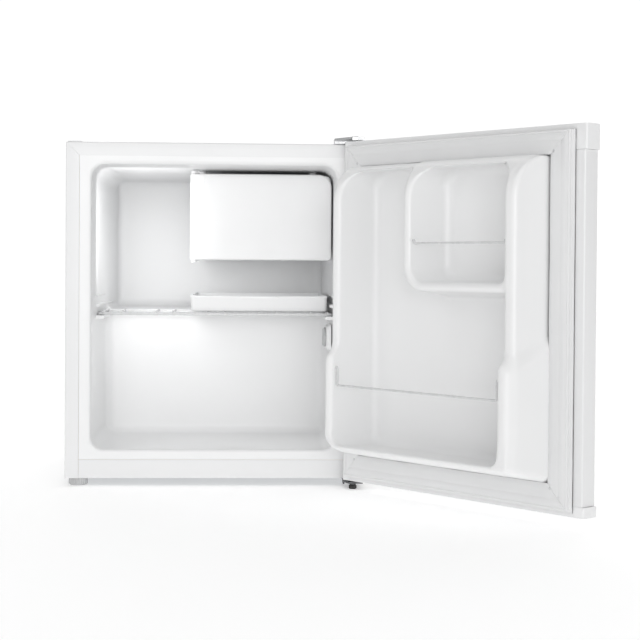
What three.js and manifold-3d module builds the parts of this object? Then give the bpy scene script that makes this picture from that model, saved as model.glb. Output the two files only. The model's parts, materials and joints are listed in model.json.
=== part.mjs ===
// Table-top mini fridge with its door standing open, in millimetres, +Z up.
// The cabinet is drawn with x from its left side, y from its front plane into the cabinet and z from
// its underside. The door is drawn as if shut, about its hinge axis, and a group swings it open.
// The finished group's origin is the middle of the cabinet's underside.
import * as THREE from 'three';
import { mergeVertices } from 'three/addons/utils/BufferGeometryUtils.js';
import Module from 'manifold-3d';

const wasm = await Module();
wasm.setup();

// ---- driving dimensions ------------------------------------------------------------------------
const WIDTH = 439;
const HEIGHT = 498;
const DEPTH = 427;
const SHEET = 1; // steel sheet
const GAP = 0.3; // clearance between touching pieces
const PRESS = 0.25; // how far the flat fields of the top and floor sheets are pressed out
const FLANGE = 20.3; // front flange of the steel shell
const RAIL_HEIGHT = 27.3; // rail under the cavity
const LINER_WALL = 1.2;
const CORNER_STEPS = 5;

const CAVITY_SIDE = 38; // cabinet side to cavity wall, at the front
const CAVITY_TOP = 465;
const CAVITY_FLOOR = 42.7;
const CAVITY_DEPTH = 380;
const SIDE_DRAFT = 5 / CAVITY_DEPTH; // the walls close in by this much for each mm of depth
const TOP_DRAFT = 5.5 / CAVITY_DEPTH;
const FLOOR_DRAFT = 0.012;
const HUMP_DEPTH = 200; // the compressor hump starts here
const HUMP_TOP = 244.5;
const BAY_FRONT = 236; // compressor bay behind the hump
const BAY_TOP = 207;

const DOOR_ANGLE = 130; // how far the door stands open, in degrees
const HINGE_X = 426;
const HINGE_Y = -22.5;
const DOOR_FREE_EDGE = -425; // from the hinge axis, with the door shut
const DOOR_HINGE_EDGE = 13;
const DOOR_OUTER = -20.8;
const DOOR_INNER = 8.4;
const DOOR_HEIGHT = 499.5;
const DOOR_BOTTOM = 0.8;
const TOP_CAP_FOOT = 466.6;
const BOTTOM_CAP_TOP = 14.8;
const CAP_PROUD = 2.3;
const HINGE_PIN_R = 3.4;
const BUSH_R = 6;

const FREEZER = [184, 394, 327, 453.5]; // x and z of the freezer box
const FLAP_FACE = 80; // front of the freezer flap, the drip tray and the shelf
const FOOT_DROP = 12;

// ---- solids ------------------------------------------------------------------------------------
function closedSolid(geometry) {
  geometry.deleteAttribute('normal');
  geometry.deleteAttribute('uv');
  const merged = mergeVertices(geometry, 1e-4);
  const vertices = new Float32Array(merged.attributes.position.array);
  const triangles = [];
  let volume = 0;
  const corner = (i) => new THREE.Vector3().fromArray(vertices, 3 * i);
  for (let i = 0; i < merged.index.count; i += 3) {
    const [a, b, c] = merged.index.array.slice(i, i + 3);
    if (a === b || b === c || c === a) continue;
    triangles.push([a, b, c]);
    volume += corner(a).dot(corner(b).cross(corner(c)));
  }
  const facesOut = volume > 0 ? triangles : triangles.map(([a, b, c]) => [a, c, b]);
  const triVerts = new Uint32Array(facesOut.flat());
  return new wasm.Manifold(new wasm.Mesh({ numProp: 3, vertProperties: vertices, triVerts }));
}

function box(x0, x1, y0, y1, z0, z1) {
  const geometry = new THREE.BoxGeometry(x1 - x0, y1 - y0, z1 - z0);
  geometry.translate((x0 + x1) / 2, (y0 + y1) / 2, (z0 + z1) / 2);
  return closedSolid(geometry);
}

// A solid through closed rings of equally many points, with flat ends.
function loft(rings) {
  const count = rings[0].length;
  const last = (rings.length - 1) * count;
  const index = [];
  for (let start = 0; start < last; start += count) {
    for (let i = 0; i < count; i += 1) {
      const next = (i + 1) % count;
      index.push(start + i, start + next, start + count + next);
      index.push(start + i, start + count + next, start + count + i);
    }
  }
  for (let i = 1; i + 1 < count; i += 1) {
    index.push(0, i + 1, i);
    index.push(last, last + i, last + i + 1);
  }
  const geometry = new THREE.BufferGeometry();
  geometry.setAttribute('position', new THREE.Float32BufferAttribute(rings.flat(2), 3));
  geometry.setIndex(index);
  return closedSolid(geometry);
}

// Corner points of a rectangle with rounded corners: radii from bottom left, anticlockwise.
function roundedRect(x0, x1, z0, z1, radii, steps = CORNER_STEPS) {
  const [bl, br, tr, tl] = Array.isArray(radii) ? radii : [radii, radii, radii, radii];
  const corners = [
    [x0 + bl, z0 + bl, bl, 2],
    [x1 - br, z0 + br, br, 3],
    [x1 - tr, z1 - tr, tr, 0],
    [x0 + tl, z1 - tl, tl, 1],
  ];
  return corners.flatMap(([x, z, r, quarter]) => Array.from({ length: steps + 1 }, (_, step) => {
    const angle = (quarter + step / steps) * Math.PI / 2;
    return [x + r * Math.cos(angle), z + r * Math.sin(angle)];
  }));
}

const standing = (outline, y) => outline.map(([x, z]) => [x, y, z]);

// A plate with a rounded outline, standing across the cabinet from y0 to y1.
function standingPlate(outline, y0, y1) {
  return loft([standing(outline, y0), standing(outline, y1)]);
}

// An outline in plan, [x, y] points, pulled up from z0 to z1.
function upright(points, z0, z1) {
  const shape = new THREE.Shape(points.map(([x, y]) => new THREE.Vector2(x, y)));
  const geometry = new THREE.ExtrudeGeometry(shape, { depth: z1 - z0, bevelEnabled: false });
  geometry.translate(0, 0, z0);
  return closedSolid(geometry);
}

// A round bar along z: pairs of [radius, z], from the bottom up.
function turned(x, y, profile, sides = 16) {
  const [bottom, top] = [profile[0][1], profile.at(-1)[1]];
  const points = [[0, bottom], ...profile, [0, top]].map(([r, z]) => new THREE.Vector2(r, z));
  const geometry = new THREE.LatheGeometry(points, sides);
  geometry.rotateX(Math.PI / 2);
  geometry.translate(x, y, 0);
  return closedSolid(geometry);
}

// A knurled disc along z: a wheel whose rim goes in and out.
function knurledDisc(x, y, radius, teeth, depth, z0, z1) {
  const outline = Array.from({ length: 2 * teeth }, (_, i) => {
    const angle = i * Math.PI / teeth;
    const r = i % 2 ? radius : radius - depth;
    return [x + r * Math.cos(angle), y + r * Math.sin(angle)];
  });
  return upright(outline, z0, z1);
}

function cylinderAlong(axis, centre, radius, length, sides = 12) {
  const geometry = new THREE.CylinderGeometry(radius, radius, length, sides);
  if (axis === 'x') geometry.rotateZ(Math.PI / 2);
  if (axis === 'z') geometry.rotateX(Math.PI / 2);
  geometry.translate(...centre);
  return closedSolid(geometry);
}

// Rounds the corners of a path of [x, y, z] points.
function rounded(path, radius, steps = 3) {
  const points = path.map((p) => new THREE.Vector3(...p));
  const smooth = [points[0]];
  for (let i = 1; i + 1 < points.length; i += 1) {
    const [before, at, after] = [points[i - 1], points[i], points[i + 1]];
    const start = at.clone().add(before.clone().sub(at).setLength(radius));
    const end = at.clone().add(after.clone().sub(at).setLength(radius));
    const bend = new THREE.QuadraticBezierCurve3(start, at, end);
    smooth.push(...bend.getPoints(steps));
  }
  smooth.push(points.at(-1));
  return smooth;
}

// A round rod along a path, turning its ring of sides no more than each bend needs.
function rod(path, radius, sides = 8) {
  const direction = (i) => {
    const [before, after] = [path[Math.max(i - 1, 0)], path[Math.min(i + 1, path.length - 1)]];
    return after.clone().sub(before).normalize();
  };
  const first = direction(0);
  const helper = Math.abs(first.z) > 0.9 ? new THREE.Vector3(1, 0, 0) : new THREE.Vector3(0, 0, 1);
  let across = helper.clone().cross(first).normalize();
  const rings = path.map((point, i) => {
    const along = direction(i);
    across = across.clone().addScaledVector(along, -across.dot(along)).normalize();
    const upward = along.clone().cross(across);
    return Array.from({ length: sides }, (_, side) => {
      const angle = side * 2 * Math.PI / sides;
      const offset = across.clone().multiplyScalar(radius * Math.cos(angle));
      return point.clone().add(offset).addScaledVector(upward, radius * Math.sin(angle)).toArray();
    });
  });
  return loft(rings);
}

const union = (solids) => solids.reduce((whole, solid) => whole.add(solid));
const minus = (solid, cuts) => cuts.reduce((rest, cut) => rest.subtract(cut), solid);

// ---- finishes ----------------------------------------------------------------------------------
const finish = (color, roughness, metalness) => () => (
  new THREE.MeshStandardMaterial({ color, roughness, metalness }));
const paintedSteel = finish(0xe9e9ea, 0.45, 0.1);
const whitePlastic = finish(0xededed, 0.35, 0);
const linerPlastic = finish(0xe8e9ea, 0.4, 0);
const whiteRubber = finish(0xe2e2e2, 0.6, 0);
const foamYellow = finish(0xe6d9a8, 0.95, 0);
const zincSteel = finish(0xb4b6b8, 0.35, 0.8);
const darkSteel = finish(0x55565a, 0.4, 0.8);
const coatedWire = finish(0xf0f0f0, 0.3, 0);
const galvanised = finish(0xbfc2c4, 0.5, 0.7);
const blackPaint = finish(0x1b1c1e, 0.4, 0.3);
const blackRubber = finish(0x232323, 0.8, 0);
const copper = finish(0xb87345, 0.3, 0.95);
const aluminium = finish(0xd4d6d8, 0.4, 0.85);
const greyPlastic = finish(0xc9cacc, 0.5, 0);

function addPiece(parent, name, solid, material) {
  const { vertProperties, triVerts } = solid.getMesh();
  const geometry = new THREE.BufferGeometry();
  geometry.setAttribute('position', new THREE.BufferAttribute(new Float32Array(vertProperties), 3));
  geometry.setIndex(new THREE.BufferAttribute(new Uint32Array(triVerts), 1));
  geometry.computeVertexNormals();
  const mesh = new THREE.Mesh(geometry, material);
  mesh.name = name;
  parent.add(mesh);
}

// ---- cavity ------------------------------------------------------------------------------------
const wallAt = (depth) => CAVITY_SIDE + SIDE_DRAFT * depth;
const ceilingAt = (depth) => CAVITY_TOP - TOP_DRAFT * depth;
const floorAt = (depth) => CAVITY_FLOOR + FLOOR_DRAFT * depth;

// Rings from the front of a cavity back to its rounded rear edge. outline(depth) gives
// [x0, x1, z0, z1, corner radius] there.
function cavitySolid(front, back, edgeRadius, outline) {
  const EDGE_STEPS = 3;
  const ring = (depth, inset) => {
    const [x0, x1, z0, z1, radii] = outline(depth);
    const inner = radii.map((r) => Math.max(r - inset, 1));
    return standing(roundedRect(x0 + inset, x1 - inset, z0 + inset, z1 - inset, inner), depth);
  };
  const rings = [ring(front, 0)];
  for (let step = 0; step <= EDGE_STEPS; step += 1) {
    const angle = step / EDGE_STEPS * Math.PI / 2;
    rings.push(ring(back - edgeRadius * (1 - Math.sin(angle)), edgeRadius * (1 - Math.cos(angle))));
  }
  return loft(rings);
}

// The space inside the liner, grown outwards by a wall thickness.
function cavity(grow, front) {
  const [topR, humpR, floorR] = [20 + grow, 5 + grow, 17 + grow];
  const [upperEdge, lowerEdge] = [8 + grow, 12 + grow];
  const sides = (depth) => [wallAt(depth) - grow, WIDTH - wallAt(depth) + grow];
  const upper = cavitySolid(front, CAVITY_DEPTH + grow, upperEdge, (depth) => [
    ...sides(depth), HUMP_TOP - grow, ceilingAt(depth) + grow, [humpR, humpR, topR, topR]]);
  const lower = cavitySolid(front, HUMP_DEPTH + grow, lowerEdge, (depth) => [
    ...sides(depth), floorAt(depth) - grow, FREEZER[2], [floorR, floorR, humpR, humpR]]);
  return upper.add(lower);
}

const LEDGE_TOP = 238.7;
const SHELF_FRONT = 78;
const SHELF_BACK = 186;

const LEDGE_FRONT = 60;
const RIB_BACK = 290;

// The shelf slides on a ledge and under a longer rib, on each side wall.
function shelfLedges() {
  const oneSide = [
    box(0, 51, LEDGE_FRONT, HUMP_DEPTH + LINER_WALL / 2, LEDGE_TOP - 5, LEDGE_TOP),
    box(0, 45, LEDGE_FRONT, RIB_BACK, LEDGE_TOP + 13.5, LEDGE_TOP + 18),
  ];
  const mirrored = (ledge) => ledge.scale([-1, 1, 1]).translate([WIDTH, 0, 0]);
  const ledges = union([...oneSide, ...oneSide.map(mirrored)]);
  return ledges.intersect(cavity(LINER_WALL / 2, -5));
}

// ---- cabinet -----------------------------------------------------------------------------------
const PLUG_AT = [12.5, 17];
const TOP_SCREWS = [[406, 16], [428, 16]];
const LOWER_SCREWS = [[421, 15], [433.5, 15]];
const LEFT_FOOT = [18.2, 20];
const SUCTION_AT = [238, 300];
const DISCHARGE_AT = [212, 300];
const FILTER_AT = [120, 330];

const SCREW_HOLE_R = 2.8;
const GLAND_AT = [398, 9]; // x and z

const screwHole = ([x, y], z0, z1, radius) => (
  cylinderAlong('z', [x, y, (z0 + z1) / 2], radius, z1 - z0, 8));
const topHoles = () => [
  ...TOP_SCREWS.map((at) => screwHole(at, HEIGHT - 14, HEIGHT + 1, SCREW_HOLE_R)),
  screwHole(PLUG_AT, HEIGHT - 14, HEIGHT + 1, 4),
];
const bottomHoles = () => [
  ...LOWER_SCREWS.map((at) => screwHole(at, -1, 14, SCREW_HOLE_R)),
  screwHole(LEFT_FOOT, -1, 22, 5),
];
const tubeHoles = () => [SUCTION_AT, DISCHARGE_AT, FILTER_AT].map((at) => (
  screwHole(at, BAY_TOP - 2, BAY_TOP + 26, 4.5)));

function outerShell() {
  const rearFlange = DEPTH - SHEET - GAP;
  const REAR_FLANGE = 12;
  const walls = [
    box(0, SHEET, 0, rearFlange, 0, HEIGHT),
    box(WIDTH - SHEET, WIDTH, 0, rearFlange, 0, HEIGHT),
    box(0, WIDTH, 0, rearFlange, HEIGHT - SHEET, HEIGHT),
    box(0, FLANGE, 0, SHEET, 0, HEIGHT),
    box(WIDTH - FLANGE, WIDTH, 0, SHEET, 0, HEIGHT),
    box(0, WIDTH, 0, SHEET, HEIGHT - FLANGE, HEIGHT),
    box(0, REAR_FLANGE, rearFlange - SHEET, rearFlange, 0, HEIGHT),
    box(WIDTH - REAR_FLANGE, WIDTH, rearFlange - SHEET, rearFlange, 0, HEIGHT),
    box(0, WIDTH, rearFlange - SHEET, rearFlange, HEIGHT - REAR_FLANGE, HEIGHT),
  ];
  // The flanges meet in a mitred seam at each top corner.
  const seamFrom = 3;
  const seamTo = FLANGE + 0.5;
  const mitre = (x, inward) => standingPlate([
    [x + inward * seamFrom, HEIGHT - seamFrom], [x + inward * seamTo, HEIGHT - seamTo],
    [x + inward * seamTo, HEIGHT - seamTo + GAP], [x + inward * seamFrom, HEIGHT - seamFrom + GAP],
  ], -SHEET, 2 * SHEET);
  // Round the pressed field, the top lies a little lower.
  const field = box(30, WIDTH - 30, 45, DEPTH - 40, HEIGHT - SHEET, HEIGHT + 2);
  const border = box(-1, WIDTH + 1, -1, DEPTH, HEIGHT - PRESS, HEIGHT + 1).subtract(field);
  return minus(union(walls), [...topHoles(), mitre(0, 1), mitre(WIDTH, -1), border]);
}

const RAIL_FOLD = 8; // the rail's lower edge folds back under the cabinet
const SHELL_BACK = DEPTH - 2 * SHEET - 2 * GAP; // in front of the shell's rear flange

// One bent sheet: the cabinet's floor, the front of the compressor bay and its roof.
function bottomPanel() {
  const [x0, x1] = [SHEET + GAP, WIDTH - SHEET - GAP];
  const sheet = union([
    box(x0, x1, RAIL_FOLD + GAP, BAY_FRONT, 0, SHEET),
    box(x0, x1, BAY_FRONT - SHEET, BAY_FRONT, 0, BAY_TOP + SHEET),
    box(x0, x1, BAY_FRONT - SHEET, SHELL_BACK - SHEET, BAY_TOP, BAY_TOP + SHEET),
  ]);
  // Round the pressed field, clear of the feet, the floor lies a little higher.
  const field = box(50, WIDTH - 50, 45, BAY_FRONT - 8, -2, SHEET);
  const border = box(-1, WIDTH + 1, -1, DEPTH, -1, PRESS).subtract(field);
  return minus(sheet, [...bottomHoles(), ...tubeHoles(), border]);
}

function bottomRail() {
  const [x0, x1] = [FLANGE + GAP, WIDTH - FLANGE - GAP];
  return union([
    box(x0, x1, 0, SHEET, 0, RAIL_HEIGHT),
    box(x0, x1, 0, RAIL_FOLD, 0, SHEET),
  ]);
}

// The rear sheet, stiffened by four upright pressed ribs.
function backPanel() {
  const RIB_HALF = 9;
  const RIB_PROUD = 1.5;
  const sheet = roundedRect(5, WIDTH - 5, BAY_TOP - 4, HEIGHT - 5, 6, 3);
  const ribs = [90, 180, 259, 349].map((x) => {
    const outline = roundedRect(x - RIB_HALF, x + RIB_HALF, BAY_TOP + 25, HEIGHT - 40, 8, 3);
    return standingPlate(outline, DEPTH - SHEET / 2, DEPTH + RIB_PROUD);
  });
  return union([standingPlate(sheet, DEPTH - SHEET, DEPTH), ...ribs]);
}

function innerLiner() {
  const [x0, x1] = [FLANGE + GAP, WIDTH - FLANGE - GAP];
  const flange = box(x0, x1, 0, LINER_WALL, RAIL_HEIGHT + GAP, HEIGHT - FLANGE - GAP);
  return flange.add(cavity(LINER_WALL, 0)).subtract(cavity(0, -5)).add(shelfLedges());
}

const COIL_DEPTH = 7;
const COIL_BOX = [55, WIDTH - 55, BAY_TOP + 30, HEIGHT - 45];
const COIL_INSET = 8;

function insulation() {
  const [x0, x1] = [SHEET + GAP, WIDTH - SHEET - GAP];
  const back = SHELL_BACK;
  const block = box(x0, x1, LINER_WALL + GAP, back, SHEET + GAP, HEIGHT - SHEET - GAP);
  const bay = box(-5, WIDTH + 5, BAY_FRONT - SHEET - GAP, DEPTH + 5, -5, BAY_TOP + SHEET + GAP);
  const [cx0, cx1, cz0, cz1] = COIL_BOX;
  const coilSpace = box(cx0, cx1, back - COIL_DEPTH, back + 5, cz0, cz1);
  const wayX = cx0 + COIL_INSET;
  const coilWay = box(wayX - 5, wayX + 5, back - COIL_DEPTH, back + 5, BAY_TOP, cz0 + 1);
  const cuts = [bay, cavity(LINER_WALL + GAP, -5), coilSpace, coilWay];
  return minus(block, [...cuts, ...topHoles(), ...bottomHoles(), ...tubeHoles()]);
}

function condenserCoil() {
  const PASSES = 8;
  const y = SHELL_BACK - COIL_DEPTH / 2;
  const [x0, x1] = [COIL_BOX[0] + COIL_INSET, COIL_BOX[1] - COIL_INSET];
  const [z0, z1] = [COIL_BOX[2] + COIL_INSET, COIL_BOX[3] - COIL_INSET];
  const path = [[x0, y, BAY_TOP + 6]];
  for (let pass = 0; pass < PASSES; pass += 1) {
    const z = z0 + pass * (z1 - z0) / (PASSES - 1);
    const ends = pass % 2 ? [x1, x0] : [x0, x1];
    path.push([ends[0], y, z], [ends[1], y, z]);
  }
  return rod(rounded(path, 7, 2), 2.4, 6);
}

// A flat cap over the unused hinge position, with a stem in its hole.
function hingeHolePlug() {
  const foot = HEIGHT + GAP;
  const head = standingPlate(roundedRect(2, 22.4, foot, foot + 1.2, 0.4, 1), 7, 27);
  return head.add(turned(...PLUG_AT, [[3.2, HEIGHT - 6], [3.6, HEIGHT + 1]], 12));
}

// ---- hinges and feet ---------------------------------------------------------------------------
const TOP_BRACKET = 506;
const TOP_SCREW_SEAT = TOP_BRACKET - 2.4; // the screw heads sit in the bracket, nearly flush
const LOWER_BRACKET = -0.8;
const BRACKET_STEEL = 2.5;
const PIN_CLEAR = HINGE_PIN_R + GAP;

function topHingeBracket() {
  const [top, foot] = [TOP_BRACKET, TOP_BRACKET - BRACKET_STEEL];
  const outline = [[397, 26], [397, -2], [421, -36], [438.6, -36], [438.6, 26]];
  const plate = upright(outline, foot, top);
  const pad = box(397, 438.6, 4, 26, HEIGHT + GAP, foot + 0.5);
  const lip = box(421, 438.6, -36, -36 + BRACKET_STEEL, foot - 2.5, foot + 0.5);
  const holes = TOP_SCREWS.flatMap((at) => [
    screwHole(at, HEIGHT, top + 1, SCREW_HOLE_R),
    screwHole(at, TOP_SCREW_SEAT, top + 1, 5.4),
  ]);
  const pinHole = cylinderAlong('z', [HINGE_X, HINGE_Y, top], PIN_CLEAR, 12);
  return minus(union([plate, pad, lip]), [...holes, pinHole]);
}

function topHingePin() {
  const seat = TOP_BRACKET + GAP;
  return turned(HINGE_X, HINGE_Y, [
    [HINGE_PIN_R - 0.6, 484], [HINGE_PIN_R, 485], [HINGE_PIN_R, seat], [5.2, seat], [4.6, seat + 1.3],
  ]);
}

// A washer-head screw that points down from z, or up when its length is negative.
function screw([x, y], z, length) {
  const headRise = Math.sign(length) * 2.2;
  const profile = [[1.4, z - length], [2.2, z - length * 0.8], [2.2, z], [4.6, z], [4.2, z + headRise]];
  return turned(x, y, length > 0 ? profile : profile.reverse(), 12);
}

function lowerHingeBracket() {
  const z = LOWER_BRACKET;
  const outline = [[412, 24], [412, -14], [419, -33], [440.4, -33], [440.4, 24]];
  const plate = upright(outline, z - BRACKET_STEEL, z);
  const lip = box(412, 412 + BRACKET_STEEL, -14, 6, z - 6, z);
  const holes = LOWER_SCREWS.map((at) => screwHole(at, z - 4, z + 1, SCREW_HOLE_R));
  const pinHole = cylinderAlong('z', [HINGE_X, HINGE_Y, z], PIN_CLEAR, 12);
  return minus(union([plate, lip]), [...holes, pinHole]);
}

const PIN_HEAD = 2;
const STUD_R = 1.7;
const STUD_TOP = 5;

// The pin is bored from below for the levelling foot's stud.
function lowerHingePin() {
  const seat = LOWER_BRACKET - BRACKET_STEEL - GAP;
  const pin = turned(HINGE_X, HINGE_Y, [
    [4.8, seat - PIN_HEAD], [4.8, seat], [HINGE_PIN_R, seat], [HINGE_PIN_R, 11.5], [HINGE_PIN_R - 0.6, 12.5],
  ]);
  return pin.subtract(screwHole([HINGE_X, HINGE_Y], seat - 5, STUD_TOP + 1, STUD_R + 0.4));
}

function frontLeftFoot() {
  const pad = knurledDisc(...LEFT_FOOT, 14.2, 24, 0.8, -FOOT_DROP + 1.5, -GAP);
  const sole = turned(...LEFT_FOOT, [[12.2, -FOOT_DROP], [13.2, -FOOT_DROP + 1.8]], 24);
  const stud = turned(...LEFT_FOOT, [[4, -2], [4, 11], [3.4, 12]], 12);
  return union([pad, sole, stud]);
}

function frontRightFoot() {
  const top = LOWER_BRACKET - BRACKET_STEEL - PIN_HEAD - 2 * GAP;
  return union([
    knurledDisc(HINGE_X, HINGE_Y, 6, 12, 0.6, -FOOT_DROP + 0.8, top - 0.8),
    turned(HINGE_X, HINGE_Y, [[5, -FOOT_DROP], [5.2, -FOOT_DROP + 1], [4.6, top]], 12),
    turned(HINGE_X, HINGE_Y, [[STUD_R, top - 1], [STUD_R, STUD_TOP]], 8),
  ]);
}

const rearFoot = (x) => (
  turned(x, 392, [[12, -FOOT_DROP], [13, -FOOT_DROP + 1.5], [11, -GAP]], 16));

// ---- compressor bay ----------------------------------------------------------------------------
const COMPRESSOR_AT = [300, 332];
const MOUNTS = [[-62, -45], [62, -45], [-62, 45], [62, 45]];
const BASE_PLATE = 2;
const MOUNT_PLATE = 16;
const MOUNT_TOP = 19;

const mountAt = ([dx, dy]) => [COMPRESSOR_AT[0] + dx, COMPRESSOR_AT[1] + dy];

function basePlate() {
  const [x0, x1] = [SHEET + GAP, WIDTH - SHEET - GAP];
  const [glandX, glandZ] = GLAND_AT;
  const plate = union([
    box(x0, x1, BAY_FRONT + GAP, SHELL_BACK, 0, BASE_PLATE),
    box(x0, x1, SHELL_BACK - BASE_PLATE, SHELL_BACK, 0, 16),
  ]);
  return plate.subtract(cylinderAlong('y', [glandX, SHELL_BACK, glandZ], 5, 10));
}

function compressor() {
  const [x, y] = COMPRESSOR_AT;
  const shell = turned(x, y, [
    [34, 20], [52, 25], [60, 36], [61.5, 82], [63.5, 84],
    [63.5, 88], [61.5, 90], [59, 116], [48, 134], [28, 143],
  ], 24);
  const plate = box(x - 74, x + 74, y - 57, y + 57, MOUNT_PLATE, MOUNT_TOP);
  const neck = turned(x, y, [[30, MOUNT_PLATE + 2], [36, 22]], 16);
  const holes = MOUNTS.map((at) => screwHole(mountAt(at), 0, 40, 5));
  return minus(union([shell, plate, neck]), holes);
}

const grommet = (at) => turned(...mountAt(at), [
  [10, BASE_PLATE + GAP], [8, 6], [8, 12], [10, MOUNT_PLATE - GAP], [4.5, MOUNT_PLATE - GAP],
  [4.5, MOUNT_TOP + GAP], [7, MOUNT_TOP + GAP], [6, MOUNT_TOP + 3],
], 12);

function relayCover() {
  const [x, y] = COMPRESSOR_AT;
  const outline = roundedRect(x + 64.5, x + 92, 44, 98, 5, 2);
  return standingPlate(outline, y - 26, y + 26);
}

const TUBE_R = 3;
const TUBE_TOP = BAY_TOP + 18;
const SHELL_SIDE = COMPRESSOR_AT[0] - 62.3; // where the tubes meet the compressor

// A tube from the compressor's side at height z, across to a point in the bay and up into the foam.
function copperTube([x, y], z, sideways, reach) {
  const at = COMPRESSOR_AT[1] + sideways;
  const path = [[SHELL_SIDE, at, z], [SHELL_SIDE - reach, at, z], [x, y, z], [x, y, TUBE_TOP]];
  return rod(rounded(path, 11, 4), TUBE_R, 8);
}

const suctionTube = () => copperTube(SUCTION_AT, 70, -12, 21.7);
const dischargeTube = () => copperTube(DISCHARGE_AT, 55, 12, 37.7);

const filterDryer = () => turned(...FILTER_AT, [
  [TUBE_R, 58], [TUBE_R, 76], [9.5, 88], [9.5, 168], [TUBE_R, 180], [TUBE_R, TUBE_TOP],
], 12);

function cordGland() {
  const [x, z] = GLAND_AT;
  const gland = union([
    cylinderAlong('y', [x, SHELL_BACK + 1.5, z], 6.5, 2.4, 16),
    cylinderAlong('y', [x, SHELL_BACK - 4, z], 4.6, 12, 16),
  ]);
  return gland.subtract(cylinderAlong('y', [x, SHELL_BACK - 2, z], 3, 30, 12));
}

// ---- freezer compartment, tray, shelf, thermostat ----------------------------------------------
const FREEZER_FRONT = 103;
const FREEZER_BACK = 366;
const FRAME_FRONT = 94.5;
const FLAP = [179.6, 397.4, 324.5, 457];
const FLAP_AXIS = [186, 86];
const FLAP_PIN_R = 1.9;

function freezerBox() {
  const [x0, x1, z0, z1] = FREEZER;
  const WALL = 2;
  const outer = standingPlate(roundedRect(x0, x1, z0, z1, 9, 3), FREEZER_FRONT, FREEZER_BACK);
  const inside = roundedRect(x0 + WALL, x1 - WALL, z0 + WALL, z1 - WALL, 7, 3);
  return outer.subtract(standingPlate(inside, FREEZER_FRONT - 5, FREEZER_BACK - WALL));
}

// A frame on the freezer box's mouth, with two lugs that carry the flap's pins.
function freezerFrame() {
  const [x0, x1, z0, z1] = FREEZER;
  const [ax, ay] = FLAP_AXIS;
  const LUG_R = 4.5;
  const RIM = 9;
  const outerEdge = roundedRect(x0 - 2.5, x1 + 2.5, z0 - 2, z1 + 2, 8, 3);
  const innerEdge = roundedRect(x0 + RIM, x1 - RIM, z0 + RIM, z1 - RIM, 8, 3);
  const opening = standingPlate(innerEdge, FRAME_FRONT - 5, FREEZER_FRONT + 5);
  const rim = standingPlate(outerEdge, FRAME_FRONT, FREEZER_FRONT - GAP).subtract(opening);
  const lug = (low, high) => union([
    box(ax - LUG_R, ax + 8, ay, FRAME_FRONT + 3, low, high),
    turned(ax, ay, [[LUG_R, low], [LUG_R, high]], 12),
  ]);
  const post = (low, high) => box(ax - LUG_R, ax + 8, FRAME_FRONT, FRAME_FRONT + 4, low, high);
  const upper = [lug(z1 + 4.3, z1 + 7.3), post(z1, z1 + 7.3)];
  const lower = [lug(z0 - 6.3, z0 - 3.3), post(z0 - 6.3, z0)];
  const bores = screwHole(FLAP_AXIS, z0 - 20, z1 + 20, FLAP_PIN_R + 0.5);
  return union([rim, ...upper, ...lower]).subtract(bores);
}

// A spacer between the freezer box and the ceiling.
function freezerHanger(x, y) {
  const [foot, top] = [FREEZER[3] + GAP, ceilingAt(y) - GAP];
  return turned(x, y, [[7, foot], [5.5, foot + 1.2], [5.5, top - 1.2], [7, top - 0.1]], 12);
}

// A dished panel that turns on a round edge at its left.
function freezerFlap() {
  const [x0, x1, z0, z1] = FLAP;
  const [ax, ay] = FLAP_AXIS;
  const BARREL_R = ax - x0 - 0.2;
  const WALL = 3;
  const back = FRAME_FRONT - WALL;
  const panel = standingPlate(roundedRect(ax, x1, z0, z1, [0.5, 6, 20, 0.5]), FLAP_FACE, back);
  const inside = roundedRect(ax + 10, x1 - WALL, z0 + WALL, z1 - WALL, [3, 4, 17, 3]);
  const hollow = standingPlate(inside, FLAP_FACE + 3.5, back + 5);
  const barrel = turned(ax, ay, [[4.5, z0], [BARREL_R, z0 + 3], [BARREL_R, z1 - 3], [4.5, z1]]);
  const pins = turned(ax, ay, [[FLAP_PIN_R, z0 - 3.4], [FLAP_PIN_R, z1 + 3.4]], 10);
  return union([panel.subtract(hollow), barrel, pins]);
}

// An open tray with a finger lip on its front, under the freezer.
function dripTray() {
  const [FLOOR, RIM] = [245.8, 269.6];
  const [x0, x1, y0, y1] = [180.4, 392, FLAP_FACE, 322];
  const middle = (x0 + x1) / 2;
  const ring = (inset, radius, z) => (
    roundedRect(x0 + inset, x1 - inset, y0 + inset, y1 - inset, radius, 3).map(([x, y]) => [x, y, z]));
  const outer = loft([ring(1, 5, FLOOR), ring(0, 6, RIM)]);
  const inside = loft([ring(3, 4, FLOOR + 2), ring(2, 5, RIM + 1)]);
  const lip = box(middle - 28, middle + 28, y0 - 2, y0 + 1.5, RIM - 4, RIM - 1.5);
  return outer.subtract(inside).add(lip);
}

function wireShelf() {
  const RAIL_R = 2.2;
  const WIRE_R = 1.3;
  const railZ = LEDGE_TOP + GAP + RAIL_R;
  const wireZ = railZ + RAIL_R + WIRE_R - 0.8;
  const PAIR_HALF = 13.4;
  const PAIR_STEP = 79.8;
  const [frontEnd, backEnd] = [wallAt(SHELF_FRONT) + 1.2, wallAt(SHELF_BACK) + 1.8];
  const rail = (y, end) => cylinderAlong('x', [WIDTH / 2, y, railZ], RAIL_R, WIDTH - 2 * end, 8);
  const middleY = (SHELF_FRONT + SHELF_BACK) / 2;
  const wireLength = SHELF_BACK - SHELF_FRONT + 3;
  const wires = [];
  for (let pair = -2; pair <= 2; pair += 1) {
    for (const side of [-1, 1]) {
      const x = WIDTH / 2 + pair * PAIR_STEP + side * PAIR_HALF;
      wires.push(cylinderAlong('y', [x, middleY, wireZ], WIRE_R, wireLength, 8));
    }
  }
  return union([rail(SHELF_FRONT, frontEnd), rail(SHELF_BACK, backEnd), ...wires]);
}

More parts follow.
